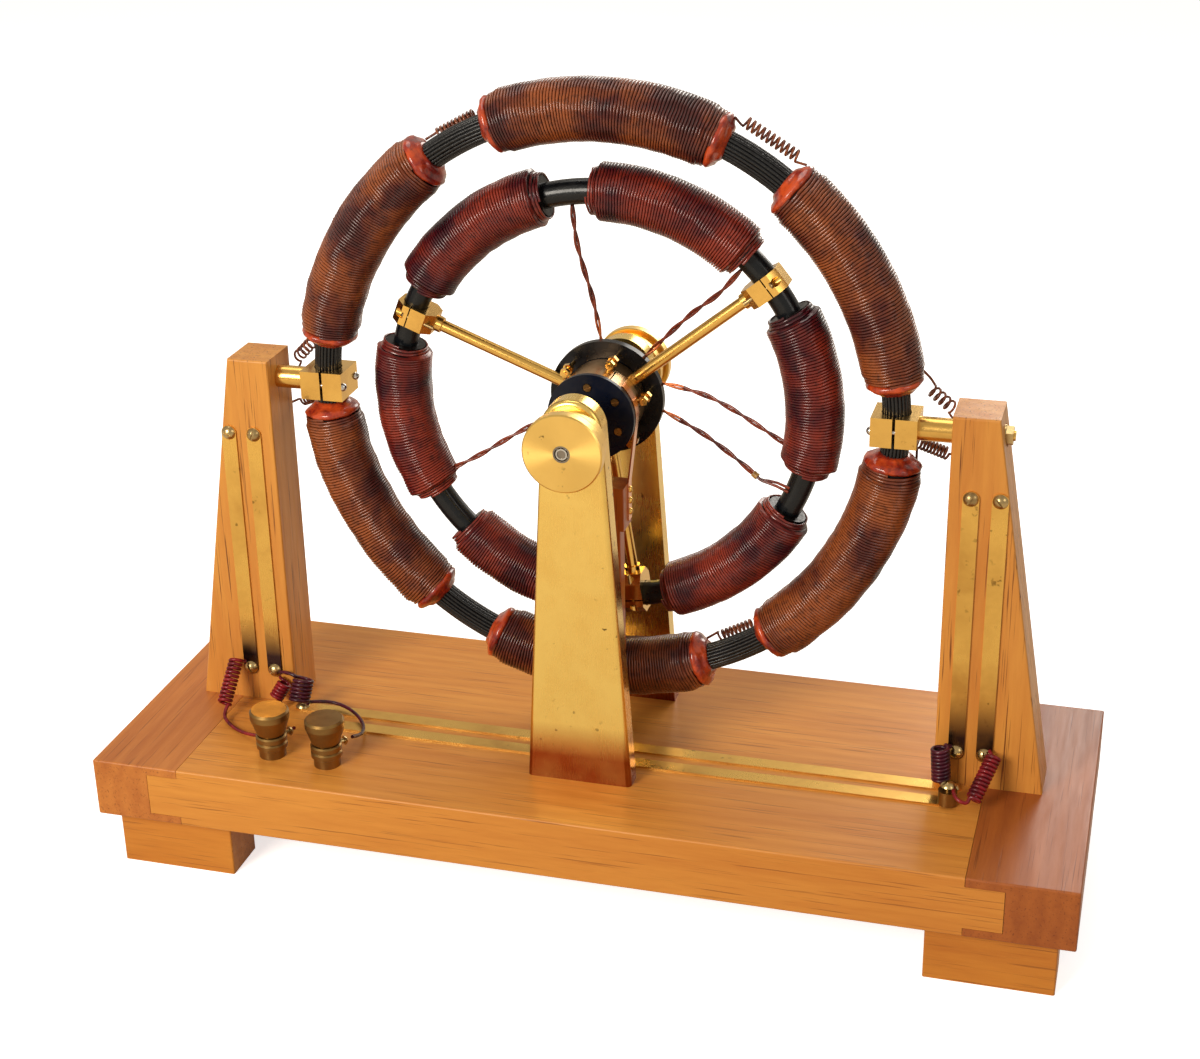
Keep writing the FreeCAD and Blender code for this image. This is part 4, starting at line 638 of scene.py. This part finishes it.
def make_windings():
    for i in range(6):
        make_coil("stator", i + 1, STATOR_GAPS[i] + HALF_GAP + COLLAR_TURN,
                  STATOR_GAPS[i + 1] - HALF_GAP - COLLAR_TURN, 0.31 * i)
    for i in range(6):
        make_coil("rotor", i + 1, ROTOR_PHASE + 60 * i + ROTOR_HALF_GAPS[i % 2],
                  ROTOR_PHASE + 60 * (i + 1) - ROTOR_HALF_GAPS[(i + 1) % 2], 2.3 + 0.37 * i)


def around_shaft(radius, degrees, plane):
    """Point at a radius and an angle about the shaft."""
    turn = math.radians(degrees)
    return Vector((radius * math.cos(turn), plane, AXLE + radius * math.sin(turn)))


# Cores: the stator's bundle of iron wires and the rotor's wrapped ring, seen in the gaps. They run
# on under the coils by some degrees
CORE_WIRE = 1.02 * MM
STATOR_CORE, STATOR_CORE_RUN = 8.2 * MM, 2.2
ROTOR_CORE, ROTOR_CORE_RUN = 7.5 * MM, 1.2


def make_stator_core():
    """Iron wires side by side round a filler, spun over each gap."""
    outer = STATOR_CORE - CORE_WIRE
    count = int(math.pi * outer / CORE_WIRE)
    half = HALF_GAP + STATOR_CORE_RUN
    stretches = []
    for i, middle in enumerate(STATOR_GAPS[:6]):
        wires = []
        for j in range(count):
            turn = 2 * math.pi * j / count
            wires.append(flat_disc(8, CORE_WIRE, STATOR_RADIUS + outer * math.cos(turn),
                                   outer * math.sin(turn)))
        wires.append(flat_disc(20, outer, STATOR_RADIUS))
        bundle = join(f"core_wires_{i}", wires)
        spin_round_shaft(bundle, middle - half, middle + half, STATOR_PLANE, 8)
        stretches.append(bundle)
    whole = join("stator_core_wires", stretches)
    dress(whole, core_black)
    smooth(whole, 60)
    hand_over(whole, "stand", "stator_core", "stator_core")


def make_rotor_core():
    stretches = []
    for i in range(6):
        middle, half = ROTOR_PHASE + 60 * i, ROTOR_HALF_GAPS[i % 2] + ROTOR_CORE_RUN
        stretches.append(ring_stretch(f"rotor_core_{i}", ROTOR_RADIUS, ROTOR_CORE, ROTOR_PLANE,
                                      middle - half, middle + half, sides=20, steps=10))
    whole = join("rotor_core_wrapping", stretches)
    dress(whole, core_wrap)
    hand_over(whole, "rotor", "rotor_core", "rotor_core")


# Collars: domed caps of wax that end each stator coil. The outline runs from the coil to the gap,
# as distances along the ring and radii in millimetres
COLLAR_SIDES = 40
COLLAR_PROFILE = [(-1.2, 8.6), (-1.2, 15.6), (0.0, 16.6), (1.2, 16.9), (2.4, 16.2), (3.4, 14.9),
                  (4.3, 13.6), (5.0, 12.0), (5.9, 11.0), (6.6, 10.2), (7.0, 9.4), (7.2, 8.6)]


def collar(name, degrees, way, seed):
    """One collar, on the side of its gap that way gives, its narrow end towards the gap."""
    deselect()
    bpy.ops.mesh.primitive_circle_add(vertices=COLLAR_SIDES, radius=COLLAR_PROFILE[0][1] * MM,
                                      location=(COLLAR_PROFILE[0][0] * MM, 0, 0),
                                      rotation=(0, math.radians(90), 0))
    piece = bpy.context.object
    settle(piece)
    choose(piece)
    bpy.ops.object.mode_set(mode="EDIT")
    bpy.ops.mesh.select_all(action="SELECT")
    for (here, radius), (ahead, wider) in zip(COLLAR_PROFILE, COLLAR_PROFILE[1:]):
        bpy.ops.mesh.extrude_region_move(
            TRANSFORM_OT_translate={"value": ((ahead - here) * MM, 0, 0)})
        scale = wider / radius
        bpy.ops.transform.resize(value=(1, scale, scale), center_override=(ahead * MM, 0, 0))
    bpy.ops.mesh.select_all(action="SELECT")
    bpy.ops.mesh.fill_holes(sides=COLLAR_SIDES)
    bpy.ops.object.mode_set(mode="OBJECT")
    outward(piece)
    lumps = bpy.data.textures.new(f"{name}_lumps", "CLOUDS")
    lumps.noise_scale = 0.008
    uneven = piece.modifiers.new("uneven", "DISPLACE")
    uneven.texture = lumps
    uneven.texture_coords = "LOCAL"
    uneven.strength = 2.6 * MM
    make_uneven(piece, seed)
    if way < 0:
        piece.rotation_euler = (0, 0, math.radians(180))
    piece.location = (0, 0, STATOR_RADIUS)
    settle(piece)
    turn_on_ring(piece, degrees, STATOR_PLANE)
    return piece


def make_collars():
    collars = []
    for i, middle in enumerate(STATOR_GAPS[:6]):
        for way in (-1, 1):
            collars.append(collar(f"collar_{i}_{way}", middle + way * (HALF_GAP + COLLAR_TURN),
                                  way, 0.4 + 0.13 * i + 0.05 * way))
    whole = join("collar_rolls", collars)
    dress(whole, collar_wax)
    smooth(whole, 60)
    hand_over(whole, "stand", "stator_collars", "stator_collars")


# Wires: smooth routes through given points, spirals worked out turn by turn
CURL_POINTS = 13


def smooth_curve(name, points, resolution):
    """Curve that runs smoothly near the points, from the first to the last."""
    curve = bpy.data.curves.new(name, "CURVE")
    curve.dimensions = "3D"
    line = curve.splines.new("NURBS")
    line.points.add(len(points) - 1)
    for knot, place in zip(line.points, points):
        knot.co = (*place, 1)
    line.order_u = 3
    line.use_endpoint_u = True
    line.resolution_u = resolution
    return curve


def wire_curve(name, points, radius, resolution=3):
    """Closed round wire along a smooth curve."""
    curve = smooth_curve(name, points, resolution)
    curve.bevel_depth = radius
    curve.bevel_resolution = 2
    curve.use_fill_caps = True
    wire = bpy.data.objects.new(name, curve)
    bpy.context.collection.objects.link(wire)
    choose(wire)
    bpy.ops.object.convert(target="MESH")
    wire = bpy.context.object
    outward(wire)
    smooth(wire, 60)
    return wire


def curled(start, end, radius, pitch, arriving, leaving, sense):
    """Spiral's points, begun and ended on the sides where the wire arrives and leaves."""
    along = (end - start).normalized()
    side = along.orthogonal().normalized()
    up = along.cross(side)

    def facing(place, centre):
        reach = place - centre
        return math.atan2(sense * reach.dot(up), reach.dot(side))

    first, last = facing(arriving, start), facing(leaving, end)
    whole = 2 * math.pi * round((end - start).length / pitch)
    sweep = whole + (last - first) % (2 * math.pi)
    count = math.ceil(sweep / (2 * math.pi) * CURL_POINTS)
    points = []
    for i in range(count + 1):
        turn = first + sweep * i / count
        points.append(start.lerp(end, i / count) + radius * math.cos(turn) * side
                      + sense * radius * math.sin(turn) * up)
    return points


def above_base(points):
    """Points given in millimetres over the top of the base."""
    return [Vector((x * MM, y * MM, BASE_TOP + z * MM)) for x, y, z in points]


def curled_wire(name, start, end, outer, wire, pitch, before, after, sense=1):
    """Wire that runs in, curls and runs on."""
    turns = curled(start, end, outer - wire, pitch, before[-1], after[0], sense)
    return wire_curve(name, before + turns + after, wire)


# Leads: name, material, pitch, both ends and outer radius of the spiral, and the wire's ways in
# and out, in millimetres
LEAD_WIRE = 1.15
LEAD_LIFT = LEAD_WIRE + 0.3
LEADS = [
    ("lead_left", lead_red, 2.65, (-241.9, -14.7, 30.7), (-243.4, -34.5, 8.4), 5,
     [(-237.9, -9.7, 27.2), (-240, -11.5, 28)],
     [(-241.5, -41, 3.2), (-234, -47.5, LEAD_LIFT), (-224, -54, LEAD_LIFT), (-212, -60.5, 4),
      (-204.2, -66, 8)]),
    ("lead_middle", lead_red, 2.6, (-209.4, -14.2, 17.5), (-215.1, -18.2, 7.4), 5,
     [(-214.75, -9.7, 18.55), (-212.5, -11, 18)],
     [(-213.5, -25.5, 3.5), (-207, -35.5, LEAD_LIFT), (-198, -46, LEAD_LIFT + 1),
      (-189, -53.5, 7), (-184.4, -58.6, 12)]),
    ("lead_right", lead_purple, 2.45, (-195.8, -14.5, 22.6), (-197.4, -21.5, 8.6), 7.2,
     [(-214.6, -9.65, 22.4), (-208.5, -13.4, 25), (-203, -14.2, 24)],
     [(-192.5, -19.3, 8.6), (-181, -8, 4.4), (-167.9, -12.2, 4), (-156, -22, 4),
      (-147.6, -34, 4), (-144.6, -46.5, 5.5), (-145.2, -59.5, 11.6)]),
    ("lead_dark", lead_purple, 2.8, (210.3, -17, 29.6), (211.8, -17, 8.5), 6,
     [(216, -9.7, 27.2), (213.5, -12, 27.2)], [(211.9, -16.9, 5.5), (213.2, -15.7, 1.9)]),
    ("lead_red", lead_red, 2.6, (241.7, -15.2, 26.9), (232.8, -36.9, 8.6), 5,
     [(238.3, -9.7, 27), (240, -12, 26.4)],
     [(230, -41.5, 8), (224.5, -41.8, 10), (221.3, -37.5, 11.55), (220.8, -32.5, 11.65)]),
]


def make_leads():
    for name, material, pitch, start, end, outer, before, after in LEADS:
        start, end = above_base([start, end])
        wire = curled_wire(f"{name}_wire", start, end, outer * MM, LEAD_WIRE * MM, pitch * MM,
                           above_base(before), above_base(after))
        dress(wire, material)
        hand_over(wire, "stand", name, name)


# Wires over the free gaps: angle, how far out of and behind the ring's middle line, and length as
# a share of the longest, and their spirals' outer radius and pitch
PIGTAIL_WIRE = 0.75 * MM
PIGTAILS = [(60 + FREE_SHIFT, 15.5, 3, 1), (120 + FREE_SHIFT, 8, 10, 0.8),
            (300 + FREE_SHIFT, -6, 12.5, 0.8), (240 + FREE_SHIFT, 10.8, 9, 0.8)]
PIGTAIL_HALF = math.degrees(16 * MM / STATOR_RADIUS)
PIGTAIL_SPIRAL, PIGTAIL_PITCH = 3.9 * MM, 3.1 * MM
COLLAR_REST = 15.35 * MM

# Wires from the coils to the posts: name, pitch, sense, way in, the spiral's ends and way out
POST_SPIRAL = 4.2 * MM
POST_SPIRALS = [
    ("right_upper", 4.1, 1, [(182.9, 23.8, 250), (188.6, 26.5, 244)], (189.5, 25.5, 237),
     (202, 30.5, 224.5), [(206, 33, 212), (219, 32, 198), (233.5, 27.4, 190.6)]),
    ("right_lower", 2.3, -1, [(183.5, 23.8, 192.6), (183, 27.5, 197.5)], (184.6, 27, 203.2),
     (200.5, 30.5, 196.4), [(208, 31, 194), (217.2, 27.4, 190.7)]),
    ("left_upper", 4.1, -1, [(-182.1, 23.8, 254), (-188, 26.5, 247)], (-189.5, 25.5, 237),
     (-202, 30.5, 224.5), [(-206, 33, 212), (-219, 32, 198), (-233.5, 27.4, 190.6)]),
    ("left_lower", 2.6, 1, [(-184.1, 23.8, 196.8), (-182.8, 27.8, 200)], (-184.6, 27, 203.2),
     (-200.5, 30.5, 196.4), [(-208, 31, 194), (-217.2, 27.4, 190.7)]),
]


def make_coil_ends():
    wires = []
    for number, (middle, offset, back, share) in enumerate(PIGTAILS):
        radius, plane = STATOR_RADIUS + offset * MM, STATOR_PLANE + back * MM
        tilt = math.atan2(back, offset)
        ends, rests = [], []
        for way in (1, -1):
            ends.append(around_shaft(radius, middle + way * PIGTAIL_HALF * share, plane))
            rests.append(around_shaft(STATOR_RADIUS + COLLAR_REST * math.cos(tilt),
                                      middle + way * (HALF_GAP + COLLAR_TURN / 2),
                                      STATOR_PLANE + COLLAR_REST * math.sin(tilt)))
        wires.append(curled_wire(f"pigtail_{number}", *ends, PIGTAIL_SPIRAL, PIGTAIL_WIRE,
                                 PIGTAIL_PITCH, rests[:1], rests[1:]))
    for name, pitch, sense, before, start, end, after in POST_SPIRALS:
        wires.append(curled_wire(f"spiral_{name}", *above_base([start, end]), POST_SPIRAL,
                                 PIGTAIL_WIRE, pitch * MM, above_base(before), above_base(after),
                                 sense))
    whole = join("coil_end_wires", wires)
    dress(whole, pigtail_brown)
    hand_over(whole, "stand", "coil_pigtails", "coil_pigtails")


# Twisted pairs from the rotor's gaps to the rear disc: each route as radii in millimetres and
# degrees, on the same planes, covered for most of its length and then bare
STRAND = 0.86 * MM
STRAND_APART = STRAND * 1.03
BARE_STRAND = STRAND * 0.92
COVERED_SHARE = 0.86
PAIR_TWIST = 34 * MM
TWIST_POINTS = 14
PAIR_PLANES = (12.5, 15, 18.5, 21.8, 24.85)
PAIRS = [[(118, 98.2), (100, 99.6), (78, 99.2), (57, 97.4), (31.5, 98.2)],
         [(118, 46.2), (98, 45), (82, 46.6), (61, 47.6), (31.5, 48.5)],
         [(116, -10.5), (94, -6), (76, -1), (56, 7), (31.5, 17)],
         [(104, -24), (96, -23.2), (78, -21), (57, -17.5), (31.5, -13.6)],
         [(116, -151.6), (94, -151.4), (76, -152.5), (56, -154), (31.5, -157)],
         [(117, -84.5), (100, -87), (78, -87.5), (57, -88.5), (31.5, -90)]]

# The pair whose strands leave the core singly and are tied together, and the angle they leave at
TIED_PAIR, TIED_GAP = 3, -21.5


def smooth_route(points):
    """Points read from a smooth curve through the route, even steps apart."""
    curve = smooth_curve("route", points, 16)
    holder = bpy.data.objects.new("route", curve)
    mesh = bpy.data.meshes.new_from_object(holder)
    places = [vertex.co.copy() for vertex in mesh.vertices]
    bpy.data.objects.remove(holder)
    bpy.data.meshes.remove(mesh)
    even, step, left = [places[0]], PAIR_TWIST / TWIST_POINTS, 0.0
    for here, ahead in zip(places, places[1:]):
        reach = (ahead - here).length
        while left + reach >= step:
            here = here.lerp(ahead, (step - left) / reach)
            even.append(here)
            reach, left = (ahead - here).length, 0.0
        left += reach
    return even


def twisted(route):
    """The two strands' points, half a turn apart around the route."""
    across = Vector((0, 1, 0))
    strands = [[], []]
    for i, place in enumerate(route):
        ahead = route[min(i + 1, len(route) - 1)]
        behind = route[max(i - 1, 0)]
        along = (ahead - behind).normalized()
        side = (across - along * across.dot(along)).normalized()
        up = along.cross(side)
        turn = 2 * math.pi * i / TWIST_POINTS
        reach = STRAND_APART * (math.cos(turn) * side + math.sin(turn) * up)
        strands[0].append(place + reach)
        strands[1].append(place - reach)
    return strands


def tied_start(way):
    """Where one strand of the tied pair leaves the core."""
    return [around_shaft(121 * MM, TIED_GAP + way * 0.5, (6.5 + way * 0.5) * MM),
            around_shaft(112 * MM, TIED_GAP - 0.8 + way * 0.4, (11 + way) * MM)]


def make_tie(route):
    """Short yellow sleeve round the tied pair's first stretch."""
    bpy.ops.mesh.primitive_cylinder_add(vertices=16, radius=2 * MM, depth=3.4 * MM,
                                        location=route[2])
    tie = bpy.context.object
    tie.rotation_euler = (route[4] - route[0]).to_track_quat("Z", "Y").to_euler()
    settle(tie)
    smooth(tie)
    return tie


def make_radial_wires():
    covered, bare, ties = [], [], []
    for number, route in enumerate(PAIRS):
        even = smooth_route([around_shaft(radius * MM, degrees, plane * MM)
                             for (radius, degrees), plane in zip(route, PAIR_PLANES)])
        cut = int(len(even) * COVERED_SHARE)
        for way, strand in zip((1, -1), twisted(even)):
            start = tied_start(way) if number == TIED_PAIR else []
            covered.append(wire_curve(f"pair_{number}_{way}", start + strand[:cut], STRAND, 2))
            bare.append(wire_curve(f"bare_{number}_{way}", strand[cut - 1:], BARE_STRAND, 2))
        if number == TIED_PAIR:
            ties.append(make_tie(even))
    for name, pieces, material in (("pair_wires", covered, pair_brown),
                                   ("pair_copper", bare, copper), ("pair_ties", ties, tie_yellow)):
        whole = join(name, pieces)
        dress(whole, material)
        hand_over(whole, "rotor", "radial_wires", "radial_wires")


BALL_COUNT = 8
BALL_RADIUS = 0.62 * MM
BALL_CIRCLE = 3.72 * MM
BALL_PLANES = (-73.9 * MM, 81.6 * MM)


def make_bearing_balls():
    balls = []
    for plane in BALL_PLANES:
        for i in range(BALL_COUNT):
            bpy.ops.mesh.primitive_uv_sphere_add(
                segments=12, ring_count=8, radius=BALL_RADIUS,
                location=around_shaft(BALL_CIRCLE, 360 / BALL_COUNT * i + 10, plane))
            balls.append(bpy.context.object)
            settle(balls[-1])
    whole = join("bearing_balls", balls)
    dress(whole, steel)
    smooth(whole, 80)
    hand_over(whole, "stand", "bearing_outer_rings")


make_windings()
make_stator_core()
make_rotor_core()
make_collars()
make_leads()
make_coil_ends()
make_radial_wires()
make_bearing_balls()


# Stage: pale to the camera, warmer where it lights the motor or is mirrored in it
FLOOR_SEEN, FLOOR_UNSEEN = (0.97, 0.97, 0.97, 1), (0.5, 0.43, 0.34, 1)
GLOW_SEEN, GLOW_MIRRORED, NO_GLOW = (0.7, 0.7, 0.7, 1), (0.36, 0.32, 0.27, 1), (0, 0, 0, 1)
WORLD_SEEN, WORLD_MIRRORED = (1, 1, 1, 1), (0.62, 0.56, 0.48, 1)
WORLD_LIGHT = (0.26, 0.24, 0.22, 1)

# Lamps: name, place, aim, diameter, watts and tint
LAMPS = [("key", (-0.9, -1.95, 1.2), (0, 0, 0.2), 1.0, 48, (1, 0.93, 0.82)),
         ("side", (1.9, -0.9, 1.2), (0, 0, 0.25), 1.0, 6, (1, 0.95, 0.88)),
         ("top", (-0.4, 0.6, 2.2), (0, 0, 0.2), 1.4, 13, (1, 0.97, 0.9)),
         ("back", (0.5, 2.1, 1.1), (0, 0, 0.2), 1.0, 16, (1, 0.95, 0.88))]


def make_stage():
    deselect()
    bpy.ops.mesh.primitive_plane_add(size=12, location=(0, 0, 0))
    floor = bpy.context.object
    floor.name = "floor"
    material, tree, shader = blank_material("pale_floor")
    path = tree.nodes.new("ShaderNodeLightPath")
    seen = path.outputs["Is Camera Ray"]
    tree.links.new(mix(tree, seen, FLOOR_UNSEEN, FLOOR_SEEN), shader.inputs["Base Color"])
    glow = mix(tree, path.outputs["Is Glossy Ray"], NO_GLOW, GLOW_MIRRORED)
    tree.links.new(mix(tree, seen, glow, GLOW_SEEN), shader.inputs["Emission Color"])
    shader.inputs["Emission Strength"].default_value = 1
    shader.inputs["Roughness"].default_value = 0.9
    shader.inputs["Specular IOR Level"].default_value = 0
    dress(floor, material)


def area_light(name, place, aim, across, power, tint):
    bpy.ops.object.light_add(type="AREA", location=place)
    lamp = bpy.context.object
    lamp.name = name
    lamp.data.shape = "DISK"
    lamp.data.size = across
    lamp.data.energy = power
    lamp.data.color = tint
    lamp.rotation_euler = (Vector(aim) - Vector(place)).to_track_quat("-Z", "Y").to_euler()


def make_camera():
    data = bpy.data.cameras.new("camera")
    camera = bpy.data.objects.new("camera", data)
    bpy.context.collection.objects.link(camera)
    camera.location = CAMERA_PLACE
    look = Euler((math.radians(90 + CAMERA_PITCH), 0, math.radians(-CAMERA_YAW))).to_matrix()
    turn = look @ Matrix.Rotation(math.radians(CAMERA_ROLL), 3, "Z")
    camera.rotation_euler = turn.to_euler()
    data.lens = CAMERA_LENS
    data.sensor_width = CAMERA_SENSOR
    data.sensor_fit = "HORIZONTAL"
    data.shift_x, data.shift_y = CAMERA_SHIFT
    bpy.context.scene.camera = camera


def make_world():
    world = bpy.data.worlds.new("studio")
    bpy.context.scene.world = world
    world.use_nodes = True
    tree = world.node_tree
    tree.nodes.clear()
    path = tree.nodes.new("ShaderNodeLightPath")
    soft = mix(tree, path.outputs["Is Glossy Ray"], WORLD_LIGHT, WORLD_MIRRORED)
    tint = mix(tree, path.outputs["Is Camera Ray"], soft, WORLD_SEEN)
    back = put(tree, "ShaderNodeBackground", {"Color": tint, "Strength": 1.0})
    end = tree.nodes.new("ShaderNodeOutputWorld")
    tree.links.new(back.outputs[0], end.inputs["Surface"])


make_stage()
make_world()
make_camera()
for lamp in LAMPS:
    area_light(*lamp)

bpy.context.scene.view_settings.view_transform = "Standard"
